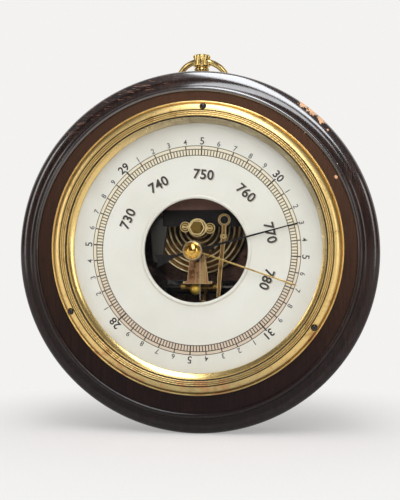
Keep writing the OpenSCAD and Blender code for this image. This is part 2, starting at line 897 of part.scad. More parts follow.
module bridge() {
    left = bridge_shift - bridge_w / 2;
    right = bridge_shift + bridge_w / 2;
    foot_y = capsule_up + capsule_d / 2;
    color(BLACK)
        on_dial()
            difference() {
                union() {
                    intersection() {
                        sideways(left, bridge_w)
                            bridge_section();
                        linear_extrude(bridge_h + 1)
                            polygon([
                                [left, 0], [right, 0], [right, lever_up + 8],
                                [bridge_foot_w / 2, foot_y], [bridge_foot_w / 2, foot_y + 8],
                                [-bridge_foot_w / 2, foot_y + 8], [-bridge_foot_w / 2, foot_y],
                                [left, lever_up + 8],
                            ]);
                    }
                    for (x = [left + 1.5, right - 1.5 - lug_t])
                        translate([x, lever_up - 2, capsule_top + 0.7])
                            cube([lug_t, 4, bridge_back - capsule_top - 0.7 + eps]);
                }
                translate([0, capsule_up, 0])
                    cylinder(r = stem_r + 0.8, h = 40);
                translate([left - 1, lever_up, lever_h])
                    rotate([0, 90, 0])
                        cylinder(d = pivot_d + 2 * run_gap, h = bridge_w + 2);
                bridge_screw_places()
                    cylinder(d = base_screw_d + 2 * bolt_gap, h = 40);
            }
}

module bridge_screw_places() {
    for (x = [-bridge_foot_w / 3, bridge_foot_w / 3])
        translate([x, capsule_up + capsule_d / 2 + 1.2 + 3.6, 0])
            children();
}

module bridge_screws() {
    color(BRASS)
        on_dial()
            bridge_screw_places()
                translate([0, 0, base_h + bridge_t])
                    slotted_screw(bridge_screw_head_d, bridge_screw_head_h, base_screw_d,
                        bridge_t - tip_gap);
}

module rocker_bracket() {
    depth = 7.8;
    color(BLACK)
        on_dial()
            difference() {
                translate([bracket_left, -rocker_down - depth / 2, base_h])
                    cube([bracket_right - bracket_left, depth, rocker_h - base_h + 3]);
                translate([bracket_left + lug_t, -rocker_down - depth / 2 - 1, base_h + bracket_t])
                    cube([bracket_right - bracket_left - 2 * lug_t, depth + 2, rocker_h]);
                translate([bracket_left - 1, -rocker_down, rocker_h])
                    rotate([0, 90, 0])
                        cylinder(d = pivot_d + 2 * run_gap, h = bracket_right - bracket_left + 2);
                cock_screw_places()
                    cylinder(d = base_screw_d + 2 * bolt_gap, h = rocker_h);
            }
}

module cock_screw_places() {
    for (x = [-cock_foot_x, cock_foot_x])
        translate([x, cock_leg_y - 2, 0])
            children();
}

// Front plate, two shoulders, two legs back to the bracket and a sleeve for the arbor
module cock() {
    flare_y = cock_leg_y + 0.8;
    leg_front = cock_leg_y - leg_t / 2;
    shoulder_x = cock_foot_x + leg_w / 2;
    color(BRASS)
        on_dial()
            difference() {
                union() {
                    translate([0, 0, cock_h - cock_t])
                        linear_extrude(cock_t)
                            union() {
                                polygon([
                                    [-cock_top_w / 2, 0], [-cock_low_w / 2, flare_y],
                                    [-shoulder_x, cock_leg_y], [-shoulder_x, leg_front],
                                    [shoulder_x, leg_front], [shoulder_x, cock_leg_y],
                                    [cock_low_w / 2, flare_y], [cock_top_w / 2, 0],
                                ]);
                                circle(d = cock_top_w);
                            }
                    for (x = [-cock_foot_x, cock_foot_x]) {
                        translate([x - leg_w / 2, leg_front, base_h + bracket_t])
                            cube([leg_w, leg_t, cock_h - base_h - bracket_t - cock_t / 2]);
                        translate([x - leg_w / 2, cock_leg_y - 3.2, base_h + bracket_t])
                            cube([leg_w, 3.2, foot_t]);
                    }
                    translate([0, 0, arbor_back])
                        cylinder(d = arbor_d + 3, h = cock_h - arbor_back - eps);
                }
                translate([0, 0, arbor_back - 1])
                    cylinder(d = arbor_d + 2 * run_gap, h = 20);
                translate([0, stud_screw_y, 0])
                    cylinder(d = base_screw_d, h = 40);
                cock_screw_places()
                    cylinder(d = base_screw_d + 2 * bolt_gap, h = rocker_h);
            }
}

module cock_screws() {
    color(BRASS)
        on_dial()
            cock_screw_places()
                translate([0, 0, base_h + bracket_t + foot_t])
                    slotted_screw(cock_screw_head_d, foot_t, base_screw_d, 2 * foot_t + tip_gap);
}

module stud_arm() {
    left = -stud_arm_left + 2;
    right = stud_arm_right - 1.5;
    color(BLACK)
        on_dial()
            translate([0, 0, stud_arm_h])
                difference() {
                    union() {
                        translate([left, 1.2, 0])
                            cylinder(r = 2, h = stud_arm_t);
                        translate([right, 0.6, 0])
                            cylinder(r = 1.5, h = stud_arm_t);
                        linear_extrude(stud_arm_t)
                            polygon([
                                [left, 3.2], [left, -0.8], [-3, -2.4], [-1.8, stud_screw_y],
                                [1.8, stud_screw_y], [3, -2.4], [right, -0.9], [right, 2.1],
                                [3, 3.4], [-3, 3.4],
                            ]);
                        translate([0, stud_screw_y, 0])
                            cylinder(r = 1.8, h = stud_arm_t);
                    }
                    translate([0, 0, -1])
                        cylinder(d = arbor_d + 1.2 + 2 * face_gap, h = 3);
                    translate([0, stud_screw_y, -1])
                        cylinder(d = base_screw_d + 2 * bolt_gap, h = 3);
                    translate([hairspring_out_r + 0.3, 0, -1])
                        cylinder(d = stud_d, h = 3);
                }
}

module stud_arm_screw() {
    color(STEEL)
        on_dial()
            translate([0, stud_screw_y, stud_arm_h + stud_arm_t])
                slotted_screw(stud_screw_head_d, stud_screw_head_h, base_screw_d,
                    stud_arm_t + cock_t - tip_gap);
}

module hairspring_stud() {
    color(BRASS)
        on_dial()
            translate([hairspring_out_r + 0.3, 0, stud_arm_h])
                difference() {
                    cylinder(d = stud_d, h = hairspring_h + 0.6 - stud_arm_h);
                    translate([-0.3, 0, hairspring_h - stud_arm_h])
                        rotate([90, 0, 0])
                            cylinder(d = hairspring_wire + 0.2, h = 4, center = true, $fn = 24);
                }
}

// Flat spiral: radius grows with the angle; the tube is square to its path
hairspring_steps = 24;
function spiral_r(turn) = hairspring_r + hairspring_pitch * turn;
function spiral_point(i) =
    let (turn = i / hairspring_steps, a = 360 * turn - 360 * hairspring_turns)
    [spiral_r(turn) * cos(a), spiral_r(turn) * sin(a), hairspring_h];
function tube_ring(i, sides) =
    let (c = spiral_point(i), a = atan2(c.y, c.x), r = hairspring_wire / 2)
    [for (k = [0 : sides - 1])
        let (b = 360 * k / sides)
        [c.x + r * cos(b) * cos(a), c.y + r * cos(b) * sin(a), c.z + r * sin(b)]];
hairspring_gap = hairspring_pitch - hairspring_wire;
echo(hairspring_least_gap = hairspring_gap);

module hairspring() {
    sides = 6;
    last = hairspring_steps * hairspring_turns;
    rings = [for (i = [0 : last]) each tube_ring(i, sides)];
    walls = [for (i = [0 : last - 1], k = [0 : sides - 1]) each
        let (a = i * sides + k, b = i * sides + (k + 1) % sides)
        [[a, b, b + sides], [a, b + sides, a + sides]]];
    start_cap = [for (k = [1 : sides - 2]) [0, k + 1, k]];
    end_cap = [for (k = [1 : sides - 2]) [last * sides, last * sides + k, last * sides + k + 1]];
    color(DARK_BRASS)
        on_dial()
            polyhedron(points = rings, faces = concat(walls, start_cap, end_cap));
}

// Movement: moving pieces --------------------------------------------------------

// Round flange with two ears, shared by the stem's yoke and its clip
module ear_outline() {
    circle(d = stem_hub_d);
    for (x = [-clip_ear_x, clip_ear_x])
        translate([x, 0])
            circle(r = clip_ear_r);
    square([2 * clip_ear_x, clip_ear_r * 1.1], center = true);
}

module ear_holes(d) {
    for (x = [-clip_ear_x, clip_ear_x])
        translate([x, 0])
            circle(d = d);
}

module at_capsule() {
    on_dial()
        translate([0, capsule_up, 0])
            rotate([0, 0, -ear_tilt])
                children();
}

module capsule_stem() {
    color(BRASS)
        at_capsule()
            difference() {
                union() {
                    translate([0, 0, capsule_top - stem_socket + 0.6])
                        cylinder(d = stem_d, h = clip_h - capsule_top + stem_socket - 0.6);
                    translate([0, 0, clip_h])
                        linear_extrude(clip_t)
                            difference() {
                                ear_outline();
                                ear_holes(clip_screw_d);
                            }
                    translate([0, 0, clip_h])
                        cylinder(d = nut_d * 0.46, h = clip_t * 2 + 1.6);
                }
                translate([0, 0, stem_pin_h])
                    rotate([0, 90, ear_tilt])
                        cylinder(d = stem_pin_d, h = 40, center = true);
            }
}

module stem_pin() {
    color(STEEL)
        on_dial()
            translate([-4.8, capsule_up, stem_pin_h])
                rotate([0, 90, 0])
                    cylinder(d = stem_pin_d, h = 9.6);
}

module stem_clip() {
    color(BRASS)
        at_capsule()
            translate([0, 0, clip_h + clip_t])
                difference() {
                    union() {
                        linear_extrude(clip_t)
                            ear_outline();
                        flat_ring(stem_hub_d, nut_d + 0.2, clip_t + 0.5);
                    }
                    translate([0, 0, -1])
                        cylinder(d = nut_d * 0.46 + 2 * bolt_gap, h = 4);
                    translate([0, 0, -1])
                        linear_extrude(4)
                            ear_holes(clip_screw_d + 2 * bolt_gap);
                }
}

module clip_screws() {
    color(BRASS)
        at_capsule()
            for (x = [-clip_ear_x, clip_ear_x])
                translate([x, 0, nut_h0])
                    slotted_screw(clip_screw_head_d, clip_screw_head_h, clip_screw_d,
                        2 * clip_t - tip_gap);
}

module stem_nut() {
    color(BRASS)
        at_capsule()
            translate([0, 0, nut_h0])
                difference() {
                    intersection() {
                        cylinder(d = nut_d, h = nut_h, $fn = 6);
                        cylinder(d1 = nut_d + 2 * nut_h, d2 = nut_d - 0.6, h = nut_h);
                    }
                    translate([0, 0, -1])
                        cylinder(d = nut_d * 0.46, h = 2.8);
                }
}

module lever_shaft() {
    left = bridge_shift - bridge_w / 2 + 1.5;
    right = bridge_shift + bridge_w / 2 - 1.5;
    color(STEEL)
        on_dial()
            translate([0, lever_up, lever_h]) {
                translate([left + lug_t + 0.3, 0, 0])
                    rotate([0, 90, 0])
                        cylinder(d = lever_shaft_d, h = right - left - 2 * lug_t - 0.6);
                translate([left, 0, 0])
                    rotate([0, 90, 0])
                        cylinder(d = pivot_d, h = right - left);
                translate([stem_r + 0.5, -lever_up + capsule_up - 0.6, -0.1])
                    cube([1.4, lever_up - capsule_up + 0.6, lever_shaft_d / 2]);
            }
}

module lever_arm() {
    w = 2.8;
    color(STEEL)
        on_dial()
            difference() {
                translate([lever_x - w / 2, rivet_up - 1.8, lever_h])
                    cube([w, lever_up - rivet_up + 3.4, lever_shaft_d / 2 + 0.5]);
                translate([lever_x - w, lever_up, lever_h])
                    rotate([0, 90, 0])
                        cylinder(d = lever_shaft_d, h = 2 * w);
                translate([lever_x, rivet_up, 0])
                    cylinder(d = rivet_d, h = 40);
            }
}

// Brass strip with an eye at its top end, leaning in towards its lower end
module key_lever() {
    eye_x = lever_x + 0.4;
    eye_y = lever_up - 0.2;
    low_x = lever_x - lever_lean;
    w = strip_w / 2;
    color(BRASS)
        on_dial()
            translate([0, 0, strip_h])
                difference() {
                    union() {
                        translate([eye_x, eye_y, 0])
                            cylinder(d = eye_d, h = strip_t);
                        translate([lever_x, rivet_up, 0])
                            cylinder(r = 1.9, h = strip_t);
                        linear_extrude(strip_t)
                            polygon([
                                [lever_x - w, rivet_up], [eye_x - w, eye_y - 2],
                                [eye_x + w, eye_y - 2], [lever_x + w, rivet_up],
                                [low_x + w + 0.6, -strip_down * 0.6], [low_x + w - 0.2, -strip_down],
                                [low_x - w + 0.2, -strip_down], [low_x - w + 0.6, -strip_down * 0.6],
                            ]);
                    }
                    translate([eye_x, eye_y, -1])
                        cylinder(d = eye_d - 2.2, h = 3);
                    translate([lever_x, rivet_up, -1])
                        cylinder(d = rivet_d, h = 3);
                }
}

module lever_rivet() {
    color(DARK_BRASS)
        on_dial()
            translate([lever_x, rivet_up, lever_h]) {
                cylinder(d = rivet_d, h = strip_h + strip_t + 0.2 - lever_h);
                translate([0, 0, lever_shaft_d / 2 + 0.5])
                    cylinder(d = rivet_d + 0.8, h = strip_h - lever_h - lever_shaft_d / 2 - 0.5);
            }
}

module rocker_shaft() {
    color(STEEL)
        on_dial()
            translate([0, -rocker_down, rocker_h])
                rotate([0, 90, 0]) {
                    translate([0, 0, bracket_left + lug_t + 0.3])
                        cylinder(d = rocker_shaft_d, h = bracket_right - bracket_left - 2 * lug_t - 0.6);
                    translate([0, 0, bracket_left])
                        cylinder(d = pivot_d, h = bracket_right - bracket_left);
                }
}

// Arm seen from the side: a bar from the rocker's axis to a tip
module side_bar(tip_y, tip_z, w) {
    l = norm([tip_y, tip_z]);
    rotate(atan2(tip_z, tip_y))
        union() {
            translate([0, -w / 2])
                square([l, w]);
            translate([l, 0])
                circle(d = w);
        }
}

module rocker_arms() {
    chain_reach = [rocker_down - chain_down, chain_h - rocker_h];
    link_reach = [-4.3, strip_h - face_gap - 1.2 - rocker_h];
    link_x = lever_x - lever_lean - rocker_arm_t / 2;
    color(BRASS)
        on_dial()
            difference() {
                translate([0, -rocker_down, rocker_h]) {
                    translate([-hub_left, 0, 0])
                        rotate([0, 90, 0])
                            cylinder(d = rocker_hub_d, h = link_x + rocker_arm_t + 0.6 + hub_left);
                    sideways(chain_arm_x, rocker_arm_t)
                        side_bar(chain_reach.x, chain_reach.y, 1.6);
                    sideways(link_x, rocker_arm_t)
                        side_bar(link_reach.x, link_reach.y, 2);
                    translate([chain_x + chain_d / 2 + face_gap, chain_reach.x, chain_reach.y])
                        rotate([0, 90, 0])
                            cylinder(d = 0.8, h = chain_arm_x + 0.2 - chain_x - chain_d / 2 - face_gap);
                }
                translate([-20, -rocker_down, rocker_h])
                    rotate([0, 90, 0])
                        cylinder(d = rocker_shaft_d, h = 60);
                ball_place()
                    sphere(d = ball_d + 2 * eps);
            }
}

module ball_place() {
    translate([-ball_left, -rocker_down - 0.7, rocker_h + rocker_hub_d / 2 + ball_d / 2 - 1.2])
        children();
}

module balance_ball() {
    color(BRASS)
        on_dial()
            difference() {
                ball_place()
                    sphere(d = ball_d);
                translate([-20, -rocker_down, rocker_h])
                    rotate([0, 90, 0])
                        cylinder(d = rocker_shaft_d + 2 * eps, h = 60);
            }
}

// Fine link chain from the drum to the rocker, drawn as beads on a wire
module chain() {
    pitch = 1;
    links = floor(chain_down / pitch);
    color(STEEL)
        on_dial()
            translate([chain_x, 0, chain_h]) {
                rotate([90, 0, 0])
                    cylinder(d = chain_d * 0.6, h = chain_down, $fn = 16);
                for (i = [0 : links - 1])
                    translate([0, -pitch * i, 0])
                        rotate([90, 0, 0])
                            cylinder(d = chain_d, h = pitch * 0.6, $fn = 16);
            }
}

module regulator_screw() {
    color(STEEL)
        on_dial()
            translate([0, capsule_up, base_h - base_t])
                mirror([0, 0, 1])
                    slotted_screw(regulator_head_d, regulator_head_h, regulator_d,
                        base_t + capsule_stud_h - 2 * face_gap);
}

// Pendant ----------------------------------------------------------------------

module at_pendant(up) {
    translate([0, -pendant_depth, up])
        children();
}

module pendant_stem() {
    neck = pendant_neck_h;
    bead_out = pendant_r - 0.7;
    throat_r = pendant_r - 1.4;
    color(BRASS) {
        at_pendant(pendant_foot)
            cylinder(d = pendant_stem_d, h = case_r - pendant_foot + neck);
        difference() {
            at_pendant(case_r - 0.4)
                rotate_extrude()
                    polygon(concat(
                        [[0, 0], [bead_out, 0], [bead_out, 1.4]],
                        arc(throat_r - 0.6, 2.4, 1, 0.8, -60, 60, 6),
                        arc(bead_out - 1.2, neck - 1.1, 1.2, 1.1, -80, 80, 8),
                        [[throat_r, neck + 0.1], [throat_r, neck + 0.4], [0, neck + 0.4]]
                    ));
            on_wall()
                cylinder(r = case_r, h = side_h);
        }
    }
}

module pendant_head() {
    edge = 0.7;
    color(BRASS)
        at_pendant(pendant_head_up)
            difference() {
                rotate_extrude()
                    polygon([
                        [0, 0], [pendant_r - edge, 0], [pendant_r, edge],
                        [pendant_r, pendant_head_h - edge],
                        [pendant_r - edge, pendant_head_h], [0, pendant_head_h],
                    ]);
                for (i = [0 : knurls - 1])
                    rotate([0, 0, 360 * (i + 0.5) / knurls])
                        translate([pendant_r + 0.25, 0, -1])
                            cylinder(r = 0.6, h = pendant_head_h + 2, $fn = 16);
                translate([0, 0, pendant_head_h / 2])
                    rotate([0, 90, 0])
                        rotate_extrude()
                            polygon([
                                [0, -pendant_r - 1], [ring_wire_r + ring_sag + 0.35, -pendant_r - 1],
                                [ring_wire_r + ring_sag + 0.15, -pendant_r + 0.6],
                                [ring_wire_r + 0.2, -1], [ring_wire_r + 0.2, 1],
                                [ring_wire_r + ring_sag + 0.15, pendant_r - 0.6],
                                [ring_wire_r + ring_sag + 0.35, pendant_r + 1], [0, pendant_r + 1],
                            ]);
            }
}

module hanging_ring() {
    color(BRASS)
        translate([0, -pendant_depth, hole_up])
            rotate([ring_lean, 0, 0])
                translate([0, 0, -ring_centre_r])
                    rotate([90, 0, 0])
                        rotate_extrude($fn = 96)
                            translate([ring_centre_r, 0])
                                circle(r = ring_wire_r);
}

wood_surround();
back_cover();
back_cover_screws();
movement_can();
can_screws();
dial();
dial_screws();
sight_ring();
glass();
glass_seal();
bezel();
bezel_screws();
spindle_bush();
knob_washer();
base_plate();
base_screws();
capsule();
bridge();
bridge_screws();
rocker_bracket();
cock();
cock_screws();
stud_arm();
stud_arm_screw();
hairspring_stud();
hairspring();
main_hand();
hand_hub();
hand_arbor();
set_hand();
set_spindle();
set_knob();
capsule_stem();
stem_pin();
stem_clip();
clip_screws();
stem_nut();
lever_shaft();
lever_arm();
key_lever();
lever_rivet();
rocker_shaft();
rocker_arms();
balance_ball();
chain();
regulator_screw();
pendant_stem();
pendant_head();
hanging_ring();
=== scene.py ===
"""Aneroid wall barometer: its visible pieces, their finishes, the studio and the camera."""

import json
import logging
import math
from dataclasses import dataclass
from enum import Enum

import bmesh
import bpy
from mathutils import Matrix, Vector


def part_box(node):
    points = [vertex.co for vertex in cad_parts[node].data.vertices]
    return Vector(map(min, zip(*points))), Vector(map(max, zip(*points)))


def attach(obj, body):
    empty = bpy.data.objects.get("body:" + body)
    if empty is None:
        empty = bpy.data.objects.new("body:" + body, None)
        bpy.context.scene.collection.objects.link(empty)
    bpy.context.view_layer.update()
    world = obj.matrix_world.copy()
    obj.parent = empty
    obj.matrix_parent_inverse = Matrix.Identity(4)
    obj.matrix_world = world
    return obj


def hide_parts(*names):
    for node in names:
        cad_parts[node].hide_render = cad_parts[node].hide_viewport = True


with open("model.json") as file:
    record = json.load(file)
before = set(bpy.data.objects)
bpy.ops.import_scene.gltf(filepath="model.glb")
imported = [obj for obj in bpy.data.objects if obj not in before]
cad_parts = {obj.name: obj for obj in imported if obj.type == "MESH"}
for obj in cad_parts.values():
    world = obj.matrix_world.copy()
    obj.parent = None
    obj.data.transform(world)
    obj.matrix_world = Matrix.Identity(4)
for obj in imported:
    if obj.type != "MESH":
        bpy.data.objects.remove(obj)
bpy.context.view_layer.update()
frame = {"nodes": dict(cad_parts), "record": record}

LOG = logging.getLogger("barometer")
Outline = list[tuple[float, float]]
Colour = tuple[float, float, float, float]

# One millimetre in metres. Sizes are in millimetres unless something else is said.
MM = 0.001
# The dial's and the bezel's axes, right of and above the case's, and how far both are turned, in degrees.
DIAL_RISE = 1.0
FRONT_SHIFT, FRONT_RISE = 0.4, 2.2
DIAL_TURN = 3.3
# Corners nearer than this are one, in millimetres.
JOINED = 1e-4
# Thickness of printed lines, and height of the middle of print over the dial's face.
PRINT_T, PRINT_H = 0.024, 0.012
BODY_OF = {n: b for b, members in frame["record"]["behaviour"]["bodies"].items() for n in members}


def tone(red: float, green: float, blue: float) -> Colour:
    """Turns a colour on screen, 0 to 255 a channel, into the light it stands for.

    Args:
        red: red on screen.
        green: green on screen.
        blue: blue on screen.

    Returns:
        The linear colour with full alpha.
    """
    def linear(value: float) -> float:
        """Undoes the screen's curve for one channel."""
        share = value / 255
        return share / 12.92 if share <= 0.04045 else ((share + 0.055) / 1.055) ** 2.4

    return (linear(red), linear(green), linear(blue), 1.0)


def arc(cx: float, cy: float, rx: float, ry: float, start: float, end: float, steps: int = 10) -> Outline:
    """Points of an elliptical arc.

    Args:
        cx: centre, across.
        cy: centre, up.
        rx: half width.
        ry: half height.
        start: first angle in degrees.
        end: last angle in degrees.
        steps: pieces the arc is cut into.

    Returns:
        The points from start to end.
    """
    turns = [math.radians(start + (end - start) * i / steps) for i in range(steps + 1)]
    return [(cx + rx * math.cos(t), cy + ry * math.sin(t)) for t in turns]


def on_circle(clockwise: float, radius: float) -> tuple[float, float]:
    """Point at a clockwise angle from the top, in degrees, and at a radius."""
    turn = math.radians(clockwise)
    return (radius * math.sin(turn), radius * math.cos(turn))


# Shader arithmetic ------------------------------------------------------------


class Value:
    """A shader socket that takes part in plain arithmetic."""

    def __init__(self, nodes: "Nodes", socket: bpy.types.NodeSocket) -> None:
        """Keeps the socket and the nodes that it belongs to."""
        self.nodes = nodes
        self.socket = socket

    def math(self, operation: str, left: object, right: object = 0.0) -> "Value":
        """Adds one Math node."""
        return self.nodes.node("ShaderNodeMath", {"operation": operation}, {0: left, 1: right})

    def __add__(self, other: object) -> "Value":
        """Sum."""
        return self.math("ADD", self, other)

    def __radd__(self, other: object) -> "Value":
        """Sum, from the right."""
        return self.math("ADD", other, self)

    def __sub__(self, other: object) -> "Value":
        """Difference."""
        return self.math("SUBTRACT", self, other)

    def __rsub__(self, other: object) -> "Value":
        """Difference, from the right."""
        return self.math("SUBTRACT", other, self)

    def __mul__(self, other: object) -> "Value":
        """Product."""
        return self.math("MULTIPLY", self, other)

    def __rmul__(self, other: object) -> "Value":
        """Product, from the right."""
        return self.math("MULTIPLY", other, self)

    def __truediv__(self, other: object) -> "Value":
        """Quotient."""
        return self.math("DIVIDE", self, other)

    def high(self, other: object) -> "Value":
        """The greater of the two."""
        return self.math("MAXIMUM", self, other)

    def fade(self, low: float, high: float) -> "Value":
        """Runs smoothly from 0 at low to 1 at high; high may be the lesser."""
        start = 1.0 if low > high else 0.0
        ends = {1: min(low, high), 2: max(low, high), 3: start, 4: 1.0 - start}
        return self.nodes.node("ShaderNodeMapRange", {"interpolation_type": "SMOOTHSTEP"},
                               {0: self, **ends})


class Nodes:
    """The nodes of a material or of the room."""

    def __init__(self, owner: bpy.types.Material | bpy.types.World) -> None:
        """Empties the owner's nodes."""
        owner.use_nodes = True
        self.tree = owner.node_tree
        self.tree.nodes.clear()

    def node(self, kind: str, settings: dict | None = None, values: dict | None = None,
             output: int | str = 0) -> Value:
        """Adds a node.

        Args:
            kind: the node's type.
            settings: its own settings, such as an operation or a ramp's stops.
            values: numbers, colours or links for its sockets.
            output: the output that is wanted.

        Returns:
            The output's socket as a value.
        """
        made = self.tree.nodes.new(kind)
        for key, setting in (settings or {}).items():
            if key == "stops":
                ramp = made.color_ramp.elements
                while len(ramp) < len(setting):
                    ramp.new(0.5)
                for stop, (place, colour) in zip(ramp, setting):
                    stop.position, stop.color = place, colour
            else:
                setattr(made, key, setting)
        self.fill(made, values or {})
        return Value(self, made.outputs[output])

    def fill(self, made: bpy.types.Node, values: dict) -> None:
        """Links or sets a node's inputs."""
        for key, value in values.items():
            if isinstance(value, Value):
                self.tree.links.new(value.socket, made.inputs[key])
            else:
                made.inputs[key].default_value = value


class Paint(Nodes):
    """A material whose look is worked out by nodes."""

    def __init__(self, name: str) -> None:
        """Starts a material with one Principled shader."""
        self.material = bpy.data.materials.new(name)
        super().__init__(self.material)
        self.shader = self.tree.nodes.new("ShaderNodeBsdfPrincipled")
        self.output = self.tree.nodes.new("ShaderNodeOutputMaterial")
        self.tree.links.new(self.shader.outputs[0], self.output.inputs[0])

    def surface(self, values: dict) -> None:
        """Links or sets the Principled shader's inputs."""
        self.fill(self.shader, values)

    def place(self, x: float = 1.0, y: float = 1.0, z: float = 1.0) -> Value:
        """Position on the object in millimetres, each axis stretched by its factor."""
        spot = self.node("ShaderNodeTexCoord", output="Object")
        return self.node("ShaderNodeVectorMath", {"operation": "MULTIPLY"},
                         {0: spot, 1: (x / MM, y / MM, z / MM)})

    def axes(self, rise: float = 0.0, shift: float = 0.0) -> tuple[Value, Value, Value]:
        """Position across, along the depth and up from an axis rise mm up and shift mm right."""
        spot = self.place()
        split = [self.node("ShaderNodeSeparateXYZ", values={0: spot}, output=i) for i in range(3)]
        return split[0] - shift, split[1], split[2] - rise

    def radius(self, rise: float = DIAL_RISE, shift: float = 0.0) -> Value:
        """Distance in millimetres from an axis that lies rise mm up and shift mm right."""
        x, _, z = self.axes(rise, shift)
        return x.math("POWER", x * x + z * z, 0.5)

    def given(self, name: str) -> Value:
        """What already feeds a socket of the surface."""
        return Value(self, self.shader.inputs[name].links[0].from_socket)

    def vector(self, x: object, y: object, z: object) -> Value:
        """Joins three numbers."""
        return self.node("ShaderNodeCombineXYZ", values={0: x, 1: y, 2: z})

    def noise(self, spot: Value, scale: float, detail: float = 4.0, rough: float = 0.55,
              warp: float = 0.0) -> Value:
        """Noise about 0 to 1 with scale waves in a millimetre."""
        return self.node("ShaderNodeTexNoise", {"noise_dimensions": "3D"},
                         {"Vector": spot, "Scale": scale, "Detail": detail, "Roughness": rough,
                          "Distortion": warp})

    def cells(self, spot: Value, scale: float) -> Value:
        """Distance to the nearest of scattered points, scale points in a millimetre."""
        return self.node("ShaderNodeTexVoronoi", {"feature": "F1"}, {"Vector": spot, "Scale": scale})

    def mix(self, share: object, first: object, second: object, blend: str = "MIX") -> Value:
        """Mixes two colours."""
        return self.node("ShaderNodeMix", {"data_type": "RGBA", "blend_type": blend},
                         {0: share, 6: first, 7: second}, output=2)

    def bump(self, height: Value, depth: float, under: Value | None = None) -> Value:
        """Surface that rises by height times depth millimetres."""
        values = {"Height": height, "Distance": depth * MM, "Strength": 1.0}
        if under is not None:
            values["Normal"] = under
        return self.node("ShaderNodeBump", values=values)


class Grain(Enum):
    """The way a metal was worked."""

    CAST = "cast"
    TURNED = "turned"
    DRAWN = "drawn"


@dataclass(frozen=True)
class Metal:
    """A metal finish with tarnish, spots and tool marks.

    Attributes:
        name: the material's name.
        clean: colour where it is bright.
        tarnish: colour where it has gone dull.
        share: how much of it has gone dull, 0 to 1.
        polish: roughness where bright.
        dull: roughness where dull.
        grain: the way it was worked.
        patch: waves of tarnish in a millimetre.
        marks: depth of the tool marks in millimetres.
        spots: strength of small dark spots.
        rise: height of the turned marks' axis in millimetres.
        shift: how far that axis lies to the right.
        metallic: how much it shines as metal, 0 to 1.
    """

    name: str
    clean: Colour
    tarnish: Colour
    share: float = 0.35
    polish: float = 0.18
    dull: float = 0.45
    grain: Grain = Grain.CAST
    patch: float = 0.12
    marks: float = 0.004
    spots: float = 0.5
    rise: float = DIAL_RISE
    shift: float = 0.0
    metallic: float = 1.0

    def paint(self) -> Paint:
        """Builds the nodes and gives the paint, ready for more."""
        paint = Paint(self.name)
        spot = paint.place()
        patches = paint.noise(spot, self.patch, 6, 0.62).fade(0.72 - self.share * 0.5, 0.9 - self.share * 0.5)
        cloud = paint.noise(spot, self.patch * 5, 4, 0.6)
        specks = paint.noise(spot, 0.9, 3, 0.5).fade(0.64, 0.74) * self.spots
        colour = paint.mix(patches * 0.85 + cloud * 0.25 - 0.1, self.clean, self.tarnish)
        dark = tuple(c * 0.25 for c in self.tarnish[:3]) + (1.0,)
        colour = paint.mix(specks, colour, dark)
        if self.grain is Grain.TURNED:
            away = paint.radius(self.rise, self.shift)
            tracks = paint.vector(away * 7.0, paint.axes()[1] * 5.0, cloud * 0.6)
        elif self.grain is Grain.DRAWN:
            tracks = paint.place(5.0, 5.0, 0.25)
        else:
            tracks = paint.place(3.0, 3.0, 3.0)
        lines = paint.noise(tracks, 1.0, 3, 0.6)
        rough = self.polish + (self.dull - self.polish) * patches + (lines - 0.5) * 0.16 + specks * 0.2
        paint.surface({
            "Base Color": colour,
            "Metallic": self.metallic,
            "Roughness": rough.high(0.06),
            "Normal": paint.bump(lines + cloud * 1.4, self.marks),
        })
        return paint

    def material(self) -> bpy.types.Material:
        """The finished material."""
        return self.paint().material


@dataclass(frozen=True)
class Coat:
    """Black or coloured paint, japan or rubber, with dust and wear, and above a given height a painted
    pinkish-brown highlight.

    Attributes:
        name: the material's name.
        colour: colour where clean.
        dust: colour of dust and wear.
        share: how much dust there is, 0 to 1.
        rough: roughness.
        gloss: weight of the clear coat.
        grit: depth of the surface's grain in millimetres.
        shine: strength of the reflection under the coat.
        brown: height above which the paint is painted pinkish brown, a painted highlight for light on its
            upper part, in millimetres.
    """

    name: str
    colour: Colour
    dust: Colour
    share: float = 0.3
    rough: float = 0.35
    gloss: float = 0.3
    grit: float = 0.006
    shine: float = 0.3
    brown: float = 1000.0

    def material(self) -> bpy.types.Material:
        """The finished material."""
        paint = Paint(self.name)
        spot = paint.place()
        cloud = paint.noise(spot, 0.25, 6, 0.65)
        grains = paint.noise(spot, 2.6, 3, 0.6)
        worn = cloud.fade(0.75 - self.share * 0.4, 0.95 - self.share * 0.3) * 0.7
        flecks = grains.fade(0.70, 0.78) * self.share
        # Painted highlight: above the height brown the paint is mixed to pinkish brown, standing for light on
        # the piece's upper part.
        rubbed = paint.axes()[2].fade(self.brown, self.brown + 0.8) * (cloud * 0.6 + 0.5)
        colour = paint.mix(rubbed, self.colour, tone(124, 94, 82))
        paint.surface({
            "Base Color": paint.mix(worn.high(flecks), colour, self.dust),
            "Roughness": self.rough + worn * 0.3 + (grains - 0.5) * 0.12,
            "Normal": paint.bump(grains + cloud, self.grit),
            "Coat Weight": self.gloss,
            "Coat Roughness": 0.12,
            "Specular IOR Level": self.shine,
        })
        return paint.material


@dataclass(frozen=True)
class Chip:
    """A place where the wood's finish is chipped away.

    Attributes:
        angle: clockwise from the top, in degrees.
        radius: from the case's axis in millimetres.
        depth: out of the wall in millimetres.
        size: radius of the chip in millimetres.
    """

    angle: float
    radius: float
    depth: float
    size: float


